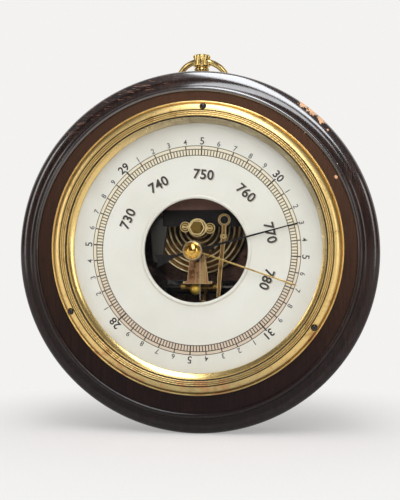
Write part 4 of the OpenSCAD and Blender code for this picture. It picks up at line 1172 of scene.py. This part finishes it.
@dataclass
class Dial:
    """Dial plate with its scale of inches and a band of millimetres.

    Attributes:
        face_h: height of its face.
        edge_r: its radius.
        opening_r: radius of the opening in its middle.
        plate_t: thickness of the plate, and rise of the ring round its opening.
        lines: radii of the scale's circles, from the outer one inwards.
        line_w: widths of those circles.
        tick_w: widths of its lines at the inches, half inches, tenths and fiftieths.
        tick_past: how far the first two stand past the outer circle.
        tenth_turn: degrees from one tenth of an inch to the next.
        inch: height, thickening and radius of the inches' numbers.
        half: the same for the fives between them.
        small: the same for the other tenths.
        band_r: radius of the band of larger numbers.
        band_size: height of those numbers.
        band_zero: millimetres of mercury at the dial's top.
        band_step: degrees for each millimetre of mercury.
        bold: how far those numbers are thickened, as a share of their height.
        band_h: height of their middle over the dial's face.
        shade: how far the shade lies to the right of, above and over them.
    """

    face_h: float = 30.0
    edge_r: float = 74.5
    opening_r: float = 28.6
    plate_t: float = 0.8
    lines: tuple[float, float, float] = (57.5, 55.6, 52.3)
    line_w: tuple[float, float, float] = (0.42, 0.5, 0.46)
    tick_w: tuple[float, float, float, float] = (0.85, 0.72, 0.6, 0.56)
    tick_past: tuple[float, float] = (1.0, 0.2)
    tenth_turn: float = 9.0
    inch: tuple[float, float, float] = (4.5, 0.025, 60.7)
    half: tuple[float, float, float] = (4.0, 0.01, 60.2)
    small: tuple[float, float, float] = (2.9, 0.012, 59.7)
    band_r: float = 42.0
    band_size: float = 5.6
    band_zero: float = 749.3
    band_step: float = 3.543
    bold: float = 0.022
    band_h: float = 0.03
    shade: tuple[float, float, float] = (0.5, -0.4, -0.018)

    def plate(self) -> None:
        """Plate with a raised ring round its opening."""
        h, r, t = self.face_h, self.opening_r, self.plate_t
        face = Shape()
        face.lathe([
            (r, h - t), (self.edge_r, h - t), (self.edge_r, h), (60.0, h), (45.0, h), (32.5, h),
            (r + 2.4, h), *arc(r + 2.0, h + 0.1, 0.3, 0.1, -60, -120, 3),
            *arc(r + 1.0, h, 1.0, t, 8, 180, 12),
        ], steps=192)
        face.finish("dial_plate", Enamel().material(), "dial")

    def tick(self, marks: Shape, angle: float, inner: float, outer: float, width: float) -> None:
        """Adds one line of the scale.

        Args:
            marks: the shape that takes it.
            angle: clockwise from the top, in degrees.
            inner: its inner radius.
            outer: its outer radius.
            width: its width.
        """
        place = spot_on(angle, (inner + outer) / 2, self.face_h + PRINT_H)
        marks.block(place @ Matrix.Diagonal((width, outer - inner, PRINT_T, 1.0)))

    def scale(self, ink: bpy.types.Material) -> None:
        """Circles and lines of the scale, all the way round.

        Args:
            ink: finish of its long lines.
        """
        marks, bold = Shape(), Shape()
        h = self.face_h
        for radius, width in zip(self.lines, self.line_w):
            marks.lathe([(radius - width / 2, h - 0.01), (radius + width / 2, h - 0.01),
                         (radius + width / 2, h + PRINT_T), (radius - width / 2, h + PRINT_T)], steps=288)
        high, middle, low = self.lines
        fiftieth = self.tenth_turn / 5
        inch_w, half_w, tenth_w, fine_w = self.tick_w
        for i in range(200):
            angle = fiftieth * i + DIAL_TURN
            if i % 50 == 25:
                self.tick(bold, angle, low, high + self.tick_past[0], inch_w)
            elif i % 50 == 0:
                self.tick(bold, angle, low, high + self.tick_past[1], half_w)
            elif i % 5 == 0:
                self.tick(bold, angle, low, high, tenth_w)
            else:
                self.tick(marks, angle, low, middle, fine_w)
        bold.finish("long_lines", ink, "dial", stands=False)
        brown = Ink("scale_ink", tone(104, 94, 68), tone(176, 166, 134), low=0.8).material()
        marks.finish("scale_lines", brown, "dial", stands=False)

    def numerals(self, ink: bpy.types.Material) -> None:
        """Tenths of an inch outside the scale, with the inches large.

        Args:
            ink: finish of the large ones.
        """
        figures, small = Shape(), Shape()
        print_h = self.face_h + PRINT_H
        for tenth in range(275, 315):
            angle = (tenth - 295) * self.tenth_turn + DIAL_TURN
            if tenth % 10 == 0:
                shape, text, (size, bold, radius) = figures, str(tenth // 10), self.inch
            elif tenth % 10 == 5:
                shape, text, (size, bold, radius) = figures, "5", self.half
            else:
                shape, text, (size, bold, radius) = small, str(tenth % 10), self.small
            shape.write(text, size, bold, spot_on(angle, radius, print_h))
        figures.finish("inch_numerals", ink, "dial", stands=False)
        faint = Ink("faint_ink", tone(74, 68, 62), tone(140, 132, 118)).material()
        small.finish("tenth_numerals", faint, "dial", stands=False)

    def band(self, ink: bpy.types.Material) -> None:
        """Large plain numbers in millimetres, with a soft grey shade beside each.

        Args:
            ink: finish of the numbers.
        """
        figures, shade = Shape(), Shape()
        for reading in range(730, 790, 10):
            angle = (reading - self.band_zero) * self.band_step + DIAL_TURN
            place = spot_on(angle, self.band_r, self.face_h + self.band_h)
            figures.write(str(reading), self.band_size, self.bold, place)
            beside = Matrix.Translation(self.shade) @ place
            shade.write(str(reading), self.band_size, self.bold, beside)
        figures.finish("band_numerals", ink, "dial", stands=False)
        grey = Ink("shade_ink", tone(178, 172, 158), tone(206, 202, 188)).material()
        shade.finish("band_shade", grey, "dial", stands=False)

    def build(self) -> None:
        """Makes the dial and all that is printed on it."""
        self.plate()
        ink = Ink("dial_ink", tone(52, 44, 38), tone(160, 152, 134)).material()
        self.scale(ink)
        self.numerals(ink)
        self.band(ink)
        brass = Metal("small_screw_brass", tone(206, 170, 104), tone(110, 84, 50), patch=0.8)
        eased_copy("dial_screws", brass.material(), 0.1)


# Hands ---------------------------------------------------------------------------


@dataclass
class Hands:
    """Black pressure hand, brass set hand and the knob that turns it.

    Attributes:
        main_l: length of the black hand.
        main_w: its width.
        hand_t: thickness of both hands.
        tail_l: length of its tail.
        tail_w: width of the tail's end.
        main_h: height of its back.
        main_angle: clockwise from the top, in degrees.
        hub_h: height of its hub's back.
        hub_r: radius of the hub.
        arbor_r: radius of the arbor in the hub.
        set_l: length of the brass hand.
        set_w: its width.
        set_h: height of its front.
        set_angle: clockwise from the top, in degrees.
        spindle_r: radius of the spindle in the brass hand and the knob.
        knob_r: radius of the knob.
        knob_foot: height of the knob's foot.
        knob_top: height of its top.
        knob_rim: drop from the knob's top to its milled rim.
        knob_bore: drop from the knob's top to the end of its bore.
    """

    main_l: float = 60.0
    main_w: float = 1.0
    hand_t: float = 0.4
    tail_l: float = 23.4
    tail_w: float = 8.4
    main_h: float = 31.9
    main_angle: float = 75.0
    hub_h: float = 31.0
    hub_r: float = 2.2
    arbor_r: float = 0.9
    set_l: float = 58.9
    set_w: float = 0.9
    set_h: float = 33.8
    set_angle: float = 108.8
    spindle_r: float = 1.1
    knob_r: float = 5.4
    knob_foot: float = 38.45
    knob_top: float = 47.2
    knob_rim: float = 3.4
    knob_bore: float = 3.1

    def tail(self) -> Outline:
        """Right-hand edge of the tail, from its waist to its hollow end."""
        length, width, hollow = self.tail_l, self.tail_w, self.tail_w * 0.62
        return [(0.62, -length * 0.5), (width * 0.30, -length * 0.78), (width / 2 - width * 0.02, -length),
                *arc(0.0, -length - width * 0.42, hollow, hollow, 44, 90, 6)]

    def main(self) -> None:
        """Black hand, pointing up the dial before it is turned."""
        w, low = self.main_w, self.main_h
        right = [(0.0, self.main_l), (w * 0.3, self.main_l - 3), (w * 0.72, 3.0), (w * 0.72, -3.0),
                 *self.tail()]
        left = [(-x, y) for x, y in reversed(right) if x > 0.01]
        hand = Shape()
        hand.plate(right + left, low, low + self.hand_t)
        hand.ease(0.12)
        hand.lathe([(1.5, low), (2.8, low), *arc(2.6, low + 0.3, 0.2, 0.15, 0, 90, 4), (1.5, low + 0.45)],
                   steps=48)
        black = Coat("hand_black", tone(20, 17, 17), tone(84, 76, 68), share=0.15, rough=0.4, gloss=0.1,
                     shine=0.15).material()
        hand.turn(self.main_angle).finish("black_hand", black, "main_hand")
        foot, bore = self.hub_h, self.arbor_r
        hub = Shape()
        hub.lathe([(bore, foot), (self.hub_r, foot), (self.hub_r, foot + 0.85), (1.5, foot + 0.88),
                   (1.5, foot + 1.6), *arc(1.2, foot + 1.6, 0.3, 0.3, 0, 90, 4), (bore, foot + 1.9)],
                  steps=48)
        hub.finish("black_hub", black, "hand_hub")

    def setting(self, brass: bpy.types.Material) -> None:
        """Brass hand under the glass, with its eye round the spindle.

        Args:
            brass: the hand's finish.
        """
        w, bore = self.set_w / 2, self.spindle_r
        low, high = self.set_h - self.hand_t, self.set_h
        hand = Shape()
        right = [(0.0, self.set_l), (w, self.set_l - 2), (w, -4.4), (0.0, -4.6)]
        hand.plate(right + [(-x, y) for x, y in reversed(right[1:3])], low, high)
        hand.ease(0.11)
        hand.lathe([(bore, low), (2.6, low), *arc(2.4, high - 0.15, 0.2, 0.15, 0, 90, 4), (bore, high)],
                   steps=48)
        hand.turn(self.set_angle).finish("brass_hand", brass, "set_hand")

    def knob(self) -> None:
        """Turned knob: foot, throat, milled rim and domed cap."""
        foot, top, r, bore = self.knob_foot, self.knob_top, self.knob_r, self.spindle_r
        rim = top - self.knob_rim
        turned = Shape()
        turned.lathe([
            (bore, foot), (2.6, foot), *arc(2.72, foot + 0.35, 0.25, 0.35, -90, 90, 6), (2.5, foot + 0.95),
            *arc(3.5, foot + 2.9, 1.15, 1.9, -110, -210, 10), *arc(4.9, rim - 0.9, 0.3, 0.3, -140, -20, 4),
            *arc(r - 0.42, rim, 0.42, 0.55, -70, 80, 10), *arc(r - 1.0, rim + 0.75, 0.4, 0.22, -120, -180, 4),
            *arc(0.0, rim + 0.6, r - 1.25, top - rim - 0.6, 8, 90, 16),
            (0.0, top - self.knob_bore), (bore, top - self.knob_bore),
        ], steps=96)
        brass = Metal("knob_brass", tone(226, 182, 92), tone(132, 74, 34), share=0.5, polish=0.13,
                      dull=0.26, grain=Grain.TURNED, patch=0.3, marks=0.002, spots=0.25)
        paint = brass.paint()
        milled = paint.radius().fade(r - 0.9, r - 0.75)
        paint.surface({
            "Base Color": paint.mix(milled, paint.given("Base Color"), tone(150, 136, 108)),
            "Roughness": paint.given("Roughness") + milled * 0.3,
        })
        turned.finish("turned_knob", paint.material, "set_knob")

    def build(self) -> None:
        """Makes the hands, their hubs, the knob and what carries it."""
        self.main()
        brass = Metal("hand_brass", tone(200, 170, 104), tone(128, 98, 54), share=0.4, polish=0.3,
                      patch=0.4).material()
        self.setting(brass)
        eased_copy("set_spindle", brass, 0.12)
        self.knob()
        steel = Metal("arbor_steel", tone(186, 188, 192), tone(110, 104, 98), share=0.3, patch=0.6)
        eased_copy("hand_arbor", steel.material(), 0.08)
        eased_copy("spindle_bush", brass, 0.1)
        eased_copy("knob_washer", brass, 0.1)


# Movement ------------------------------------------------------------------------


@dataclass(frozen=True)
class CapsuleBronze(Metal):
    """Tarnished bronze with a painted highlight along the crests of its corrugations.

    Attributes:
        flat_r: radius of the flat middle.
        waves_w: width of the corrugations together.
        waves: number of corrugations.
    """

    flat_r: float = 5.5
    waves_w: float = 20.1
    waves: int = 7

    def material(self) -> bpy.types.Material:
        """The finished material."""
        paint = self.paint()
        radius = paint.radius(self.rise)
        turns = (radius - self.flat_r) * (math.tau * self.waves / self.waves_w)
        crest = turns.math("COSINE", turns).fade(0.1, 0.95)
        crest = crest * radius.fade(self.flat_r - 0.5, self.flat_r + 1.0)
        wear = paint.noise(paint.place(), 0.16, 4, 0.6).fade(0.30, 0.62)
        # Painted highlight: the crests are painted pale cream and made less metallic, standing for light
        # caught by the corrugations; the noise in wear only makes the band uneven.
        bright = crest * (wear * 0.75 + 0.25)
        paint.surface({
            "Base Color": paint.mix(bright, paint.given("Base Color"), tone(222, 200, 150)),
            "Metallic": 1.0 - bright * 0.62,
        })
        return paint.material


@dataclass
class Movement:
    """Everything in the opening of the dial: capsule, levers, springs and plates.

    Attributes:
        capsule_up: height of the capsule's axis above the dial's.
        capsule_r: its radius.
        capsule_low: height of its back.
        capsule_high: height of its front.
        flat_r: radius of its flat middle.
        bore_r: radius of the stem's bore.
        bore_d: depth of that bore.
        stud_r: radius of the stud at its back.
        stud_low: height of the stud's foot.
        waves: number of its corrugations.
        wave_h: height of a corrugation.
        wire_r: radius of the hairspring's wire.
        spring_turns: turns of the hairspring.
        spring_r: radius of its inner end.
        spring_pitch: distance between its turns.
        spring_h: height of its middle.
        links: number of the chain's links.
        link_r: inner and outer radius of a link before it is stretched.
        link_t: half the thickness of a link.
        link_long: how much longer than wide a link is.
        wing_top: upper left corner of the sheet at the bridge's left end, right of and above the dial's
            middle.
        wing_notch: height of the sheet's lower edge along the bridge's end.
        wing_low: the corners after that, round to the left.
        worn_edge: rounding of edges that take the painted highlight.
        plain_edge: rounding of other edges.
    """

    capsule_up: float = 12.7
    capsule_r: float = 27.0
    capsule_low: float = 7.6
    capsule_high: float = 15.2
    flat_r: float = 5.5
    bore_r: float = 2.55
    bore_d: float = 5.2
    stud_r: float = 4.5
    stud_low: float = 5.1
    waves: int = 7
    wave_h: float = 1.3
    wire_r: float = 0.15
    spring_turns: int = 5
    spring_r: float = 2.4
    spring_pitch: float = 0.9
    spring_h: float = 23.75
    links: int = 36
    link_r: tuple[float, float] = (0.13, 0.24)
    link_t: float = 0.05
    link_long: float = 1.75
    wing_top: tuple[float, float] = (-27.4, 19.0)
    wing_notch: float = 13.25
    wing_low: tuple[tuple[float, float], ...] = ((-17.6, 13.25), (-19.9, -1.4), (-18.9, -6.5), (-25.4, -6.5))
    worn_edge: float = 0.26
    plain_edge: float = 0.1

    def capsule(self) -> None:
        """Corrugated capsule with a stud at its back."""
        low, high, turn = self.capsule_low, self.capsule_high, math.tau * self.waves
        middle, half, outer = (low + high) / 2, (high - low) / 2, self.capsule_r - 1.4
        steps = self.waves * 12
        skin = [
            (outer + (self.flat_r - outer) * i / steps,
             half - self.wave_h / 2 * (1 - math.cos(turn * i / steps)))
            for i in range(steps + 1)
        ]
        drum = Shape()
        drum.lathe([
            (self.capsule_r, middle - 0.5), *arc(self.capsule_r - 0.25, middle, 0.25, 0.6, -60, 60, 4),
            *[(r, middle + h) for r, h in skin], (self.bore_r, high), (self.bore_r, high - self.bore_d),
            (0.0, high - self.bore_d), (0.0, low + 0.1), (2.05, low + 0.1), (2.05, self.stud_low),
            (self.stud_r, self.stud_low), (self.stud_r, low), *[(r, middle - h) for r, h in reversed(skin)],
        ], steps=192)
        bmesh.ops.translate(drum.bm, verts=drum.bm.verts, vec=(0.0, self.capsule_up, 0.0))
        bronze = CapsuleBronze("bronze_diaphragm", tone(120, 90, 54), tone(58, 40, 26), share=0.6,
                               polish=0.3, dull=0.42, patch=0.10, spots=0.4,
                               rise=DIAL_RISE + self.capsule_up)
        drum.finish("corrugated_capsule", bronze.material(), "capsule")

    def ball(self) -> None:
        """Balance ball with its bore and a filed flat ring."""
        low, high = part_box("balance_ball")
        middle = (low + high) / (2 * MM)
        radius = (high.x - low.x) / (2 * MM)
        ball = Shape()
        ball.lathe([(0.0, -radius), *arc(0.0, 0.0, radius, radius, -84, 84, 24), (0.0, radius)], steps=48)
        place = Matrix.Translation(middle) @ Matrix.Rotation(math.pi / 2, 4, "X")
        brass = Metal("ball_brass", tone(226, 186, 76), tone(170, 126, 44), share=0.3, polish=0.3,
                      dull=0.4, patch=0.5, spots=0.3, metallic=0.55)
        ball.finish("turned_ball", brass.material(), "balance_ball", place=place)

    def chain(self) -> None:
        """Fine chain of flat links, each turned from the last."""
        low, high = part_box("chain")
        x, y = (low.x + high.x) / (2 * MM), (low.y + high.y) / (2 * MM)
        pitch = (high.z - low.z) / MM / self.links
        (inner, outer), t = self.link_r, self.link_t
        stretch = Matrix.Diagonal((1.0, self.link_long, 1.0, 1.0))
        links = Shape()
        for i in range(self.links):
            before = len(links.bm.verts)
            links.lathe([(inner, -t), (outer, -t), (outer, t), (inner, t)], steps=8)
            links.bm.verts.ensure_lookup_table()
            twist = Matrix.Rotation(math.pi / 2 * (i % 2), 4, "Y")
            rise = Matrix.Translation((0.0, high.z / MM - pitch * (i + 0.5), 0.0))
            bmesh.ops.transform(links.bm, verts=links.bm.verts[before:], matrix=rise @ twist @ stretch)
        place = Matrix.Translation((x, y, 0.0)) @ Matrix.Rotation(math.pi / 2, 4, "X")
        steel = Metal("chain_steel", tone(214, 206, 188), tone(150, 132, 104), share=0.3, polish=0.3,
                      patch=1.0, metallic=0.35)
        links.finish("fine_chain", steel.material(), "chain", place=place)

    def hairspring(self) -> None:
        """Flat spiral of round wire."""
        points = self.spring_turns * 48
        curve = bpy.data.curves.new("spiral", "CURVE")
        curve.dimensions, curve.bevel_depth, curve.bevel_resolution = "3D", self.wire_r, 2
        curve.use_fill_caps = True
        line = curve.splines.new("POLY")
        line.points.add(points)
        for i, point in enumerate(line.points):
            turns = self.spring_turns * i / points
            radius, angle = self.spring_r + self.spring_pitch * turns, math.tau * (turns - self.spring_turns)
            point.co = (radius * math.cos(angle), radius * math.sin(angle), self.spring_h, 1.0)
        spring = Shape()
        spring.bm.from_mesh(meshed("spiral", curve))
        bronze = Metal("bronze_wire", tone(104, 80, 50), tone(52, 36, 24), share=0.5, polish=0.45,
                       dull=0.6, patch=0.8)
        spring.finish("spiral_spring", bronze.material(), "hairspring")

    def edge(self) -> Paint:
        """Pale brass painted on rounded edges and front borders as a painted highlight."""
        paint = Metal("edge_highlight_brass", tone(250, 224, 160), tone(216, 182, 116), share=0.3, polish=0.3,
                      patch=0.6).paint()
        worn = paint.noise(paint.place(), 0.5, 3)
        paint.surface({"Metallic": worn * 0.4 + 0.1})
        return paint

    def plates(self) -> None:
        """Plates, levers, shafts and screws, with their edges rounded."""
        dark = Metal("can_brass", tone(112, 82, 54), tone(44, 32, 24), share=0.7, polish=0.34, dull=0.5,
                     patch=0.06).material()
        plate = Metal("plate_brass", tone(84, 62, 54), tone(36, 27, 27), share=0.6, polish=0.3, dull=0.45,
                      patch=0.08).material()
        brass = Metal("movement_brass", tone(132, 104, 50), tone(72, 54, 28), share=0.45, polish=0.38,
                      dull=0.5, patch=0.3).material()
        copper = Metal("lever_brass", tone(150, 112, 66), tone(80, 56, 32), share=0.45, polish=0.36,
                       dull=0.46, grain=Grain.DRAWN, patch=0.3).material()
        drawn = Metal("cock_brass", tone(178, 130, 94), tone(84, 58, 38), share=0.45, polish=0.34,
                      dull=0.46, grain=Grain.DRAWN, patch=0.25).paint()
        streaks = drawn.noise(drawn.place(0.55, 0.55, 0.03), 1.0, 3, 0.5).fade(0.46, 0.58)
        streaked = drawn.mix(streaks * 0.75, drawn.given("Base Color"), tone(206, 176, 116))
        drawn.surface({"Base Color": streaked})
        cock = drawn.material
        steel = Metal("movement_steel", tone(62, 58, 54), tone(34, 30, 28), share=0.4, polish=0.42,
                      patch=0.5).material()
        edge = self.edge().material
        # brown=23.2 gives the top of the bridge a painted pinkish-brown highlight.
        black = Coat("black_enamel", tone(22, 18, 17), tone(120, 108, 94), share=0.35, rough=0.4,
                     gloss=0.1, grit=0.012, shine=0.1, brown=23.2).material()
        looks = {
            dark: ("movement_can",),
            plate: ("base_plate",),
            cock: ("cock",),
            brass: ("base_screws", "bridge_screws", "cock_screws", "hairspring_stud", "capsule_stem",
                    "stem_clip", "clip_screws", "stem_nut", "lever_rivet", "rocker_arms"),
            copper: ("key_lever",),
            steel: ("can_screws", "stud_arm_screw", "stem_pin", "lever_shaft", "lever_arm", "rocker_shaft",
                    "regulator_screw"),
            black: ("bridge", "rocker_bracket", "stud_arm"),
        }
        # Widths of front borders that, with the rounded edges, take the painted highlight from self.edge().
        rims = {"stem_nut": 0.4, "stem_clip": 0.22, "clip_screws": 0.2, "key_lever": 0.12, "cock": 0.08}
        for look, nodes in looks.items():
            for node in nodes:
                if look in (brass, copper, cock):
                    eased_copy(node, look, self.worn_edge, sharp=18, worn=edge, rim=rims.get(node, 0.0))
                else:
                    eased_copy(node, look, self.plain_edge)

    def wing(self) -> None:
        """Sheet at the bridge's left end, which covers the edge of the capsule."""
        low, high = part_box("bridge")
        end = low.x / MM - 0.05
        sheet = Shape()
        sheet.plate([self.wing_top, (end, self.wing_top[1]), (end, self.wing_notch), *self.wing_low],
                    -high.y / MM, -low.y / MM)
        grey = Coat("grey_sheet", tone(54, 51, 46), tone(112, 102, 88), share=0.4, rough=0.5, gloss=0.05,
                    shine=0.15)
        sheet.ease(0.2).finish("bridge_wing", grey.material(), "bridge", stands=False)

    def build(self) -> None:
        """Makes the whole movement."""
        self.capsule()
        self.ball()
        self.chain()
        self.hairspring()
        self.wing()
        self.plates()


# Pendant -------------------------------------------------------------------------


@dataclass
class Hanger:
    """Knurled pendant with its neck and hanging ring.

    Attributes:
        ring_r: radius of the ring's centre line.
        wire_r: radius of its wire.
    """

    ring_r: float = 14.55
    wire_r: float = 1.7

    def ring(self) -> None:
        """Round ring that leans back behind the case."""
        low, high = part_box("hanging_ring")
        middle = (low + high) / (2 * MM)
        rise = (high.z - low.z) / MM - 2 * self.wire_r
        lean = math.acos(min(1.0, rise / (2 * self.ring_r)))
        ring = Shape()
        ring.lathe(arc(self.ring_r, 0.0, self.wire_r, self.wire_r, 0, 345, 23), steps=128)
        place = Matrix.Translation(middle) @ Matrix.Rotation(lean + math.pi / 2, 4, "X")
        brass = Metal("ring_brass", tone(226, 196, 128), tone(118, 92, 50), share=0.4, polish=0.18,
                      dull=0.36, patch=0.22, spots=0.6)
        ring.finish("round_ring", brass.material(), "hanging_ring", place=place)

    def build(self) -> None:
        """Makes the pendant and the ring."""
        self.ring()
        brass = Metal("pendant_brass", tone(216, 186, 118), tone(110, 86, 46), share=0.42, polish=0.2,
                      dull=0.4, patch=0.3, spots=0.7)
        look = brass.material()
        eased_copy("pendant_head", look, 0.16)
        eased_copy("pendant_stem", look, 0.12)


# Studio --------------------------------------------------------------------------


@dataclass(frozen=True)
class SoftBox:
    """A soft light, with its sizes in metres.

    Attributes:
        name: its name.
        place: where it stands.
        width: its width.
        height: its height.
        power: its power in watts.
        colour: its colour.
    """

    name: str
    place: tuple[float, float, float]
    width: float
    height: float
    power: float
    colour: tuple[float, float, float]

    def build(self, aim: tuple[float, float, float]) -> None:
        """Makes the light and turns it to what it lights.

        Args:
            aim: the point it is turned to.
        """
        data = bpy.data.lights.new(self.name, "AREA")
        data.shape, data.size, data.size_y = "RECTANGLE", self.width, self.height
        data.energy, data.color = self.power, self.colour
        lamp = bpy.data.objects.new(self.name, data)
        lamp.location = self.place
        lamp.rotation_euler = (Vector(aim) - Vector(self.place)).to_track_quat("-Z", "Y").to_euler()
        bpy.context.scene.collection.objects.link(lamp)


@dataclass
class Studio:
    """Camera, lights, floor and backdrop, with their sizes in metres.

    Attributes:
        yaw: degrees that the camera stands to the right.
        pitch: degrees that it stands above the middle.
        away: its distance.
        target: the point it is turned to.
        lens: its focal length in millimetres.
        sensor: width of its sensor in millimetres.
        shift: how far its frame is moved across and up, as a share of the sensor.
        lit: the point that the lights are turned to.
        lamps: the lights.
        floor: height of the floor.
        reach: how far the floor goes to the front and to each side.
        bend_at: how far behind the object the floor starts to rise.
        bend_r: radius of its rise into the backdrop.
        wall_h: height of the backdrop.
    """

    yaw: float = 7.8
    pitch: float = 0.3
    away: float = 0.6
    target: tuple[float, float, float] = (0.0, -0.034, 0.0)
    lens: float = 79.18
    sensor: float = 36.0
    shift: tuple[float, float] = (0.0102, 0.0048)
    lit: tuple[float, float, float] = (0.0, -0.03, 0.0)
    lamps: tuple[SoftBox, ...] = (
        SoftBox("window", (0.1, -0.62, 0.87), 0.44, 1.7, 15.6, (0.93, 0.96, 1.0)),
        SoftBox("far_window", (-0.95, -0.8, 0.2), 0.3, 0.8, 2.2, (1.0, 0.98, 0.95)),
        SoftBox("doorway", (0.98, -0.75, 0.05), 0.3, 0.9, 2.6, (1.0, 0.98, 0.95)),
    )
    floor: float = -0.1001
    reach: float = 12.0
    bend_at: float = 1.6
    bend_r: float = 0.8
    wall_h: float = 5.6

    def camera(self) -> None:
        """Camera with a long lens and the small shift that the framing needs."""
        data = bpy.data.cameras.new("camera")
        data.lens, data.sensor_width = self.lens, self.sensor
        data.shift_x, data.shift_y = self.shift
        data.clip_start, data.clip_end = 0.01, 20.0
        camera = bpy.data.objects.new("camera", data)
        yaw, pitch = math.radians(self.yaw), math.radians(self.pitch)
        back = Vector((math.sin(yaw) * math.cos(pitch), -math.cos(yaw) * math.cos(pitch), math.sin(pitch)))
        camera.location = Vector(self.target) + back * self.away
        camera.rotation_euler = (-back).to_track_quat("-Z", "Y").to_euler()
        bpy.context.scene.collection.objects.link(camera)
        bpy.context.scene.camera = camera

    def room(self) -> None:
        """Soft grey room, lighter above and dark behind the camera."""
        world = bpy.data.worlds.new("room")
        bpy.context.scene.world = world
        nodes = Nodes(world)
        spot = nodes.node("ShaderNodeTexCoord", output="Generated")
        ahead, up = [nodes.node("ShaderNodeSeparateXYZ", values={0: spot}, output=i) for i in (1, 2)]
        share = nodes.node("ShaderNodeMapRange", values={0: up, 1: -1.0, 2: 1.0})
        walls = nodes.node("ShaderNodeValToRGB", {"stops": (
            (0.35, (0.42, 0.41, 0.40, 1.0)), (0.85, (0.78, 0.82, 0.88, 1.0)))}, {0: share})
        colour = nodes.node("ShaderNodeMix", {"data_type": "RGBA"}, {
            0: ahead.fade(-0.84, -0.96), 6: walls, 7: (0.06, 0.05, 0.045, 1.0)}, output=2)
        light = nodes.node("ShaderNodeBackground", values={0: colour, 1: 0.2})
        nodes.fill(nodes.tree.nodes.new("ShaderNodeOutputWorld"), {0: light})

    def paper(self) -> bpy.types.Material:
        """Pale paper, shaded round the object and evenly bright farther out."""
        paint = Paint("backdrop_paper")
        paint.surface({"Base Color": tone(233, 226, 222), "Roughness": 0.9})
        away = paint.node("ShaderNodeVectorMath", {"operation": "LENGTH"}, {0: paint.place()}, output="Value")
        straight, mirrored, through = [
            paint.node("ShaderNodeLightPath", output=f"Is {ray} Ray")
            for ray in ("Camera", "Glossy", "Transmission")
        ]
        glow = paint.node("ShaderNodeEmission", values={"Color": tone(243, 242, 240), "Strength": 1.0})
        share = (away.fade(100.0, 230.0) * 0.58 + 0.42) * straight.high(mirrored).high(through)
        blend = paint.node("ShaderNodeMixShader", values={
            0: share, 1: Value(paint, paint.shader.outputs[0]), 2: glow})
        paint.fill(paint.output, {0: blend})
        return paint.material

    def sweep(self) -> None:
        """Pale floor that curves up into a backdrop."""
        floor, back, r = self.floor, self.bend_at, self.bend_r
        side = [(-self.reach, floor), (back, floor), *arc(back, floor + r, r, r, -84, 0, 14),
                (back + r, self.wall_h)]
        bm = bmesh.new()
        line = [bm.verts.new((-self.reach, y, z)) for y, z in side]
        edges = [bm.edges.new(pair) for pair in zip(line, line[1:])]
        made = bmesh.ops.extrude_edge_only(bm, edges=edges)
        bmesh.ops.translate(bm, vec=(2 * self.reach, 0.0, 0.0),
                            verts=[v for v in made["geom"] if isinstance(v, bmesh.types.BMVert)])
        mesh = bpy.data.meshes.new("backdrop")
        bm.to_mesh(mesh)
        bm.free()
        for face in mesh.polygons:
            face.use_smooth = True
        mesh.materials.append(self.paper())
        backdrop = bpy.data.objects.new("backdrop", mesh)
        bpy.context.scene.collection.objects.link(backdrop)

    def build(self) -> None:
        """Sets the whole studio up."""
        bpy.context.scene.view_settings.view_transform = "Standard"
        self.camera()
        self.room()
        self.sweep()
        for lamp in self.lamps:
            lamp.build(self.lit)


def main() -> None:
    """Builds the barometer, sub-assembly by sub-assembly, then the studio."""
    logging.basicConfig(level=logging.INFO, format="%(name)s: %(message)s")
    for part in (Surround(), Front(), Dial(), Hands(), Movement(), Hanger()):
        LOG.info("building %s", type(part).__name__)
        part.build()
    Studio().build()


if __name__ == "__main__":
    main()
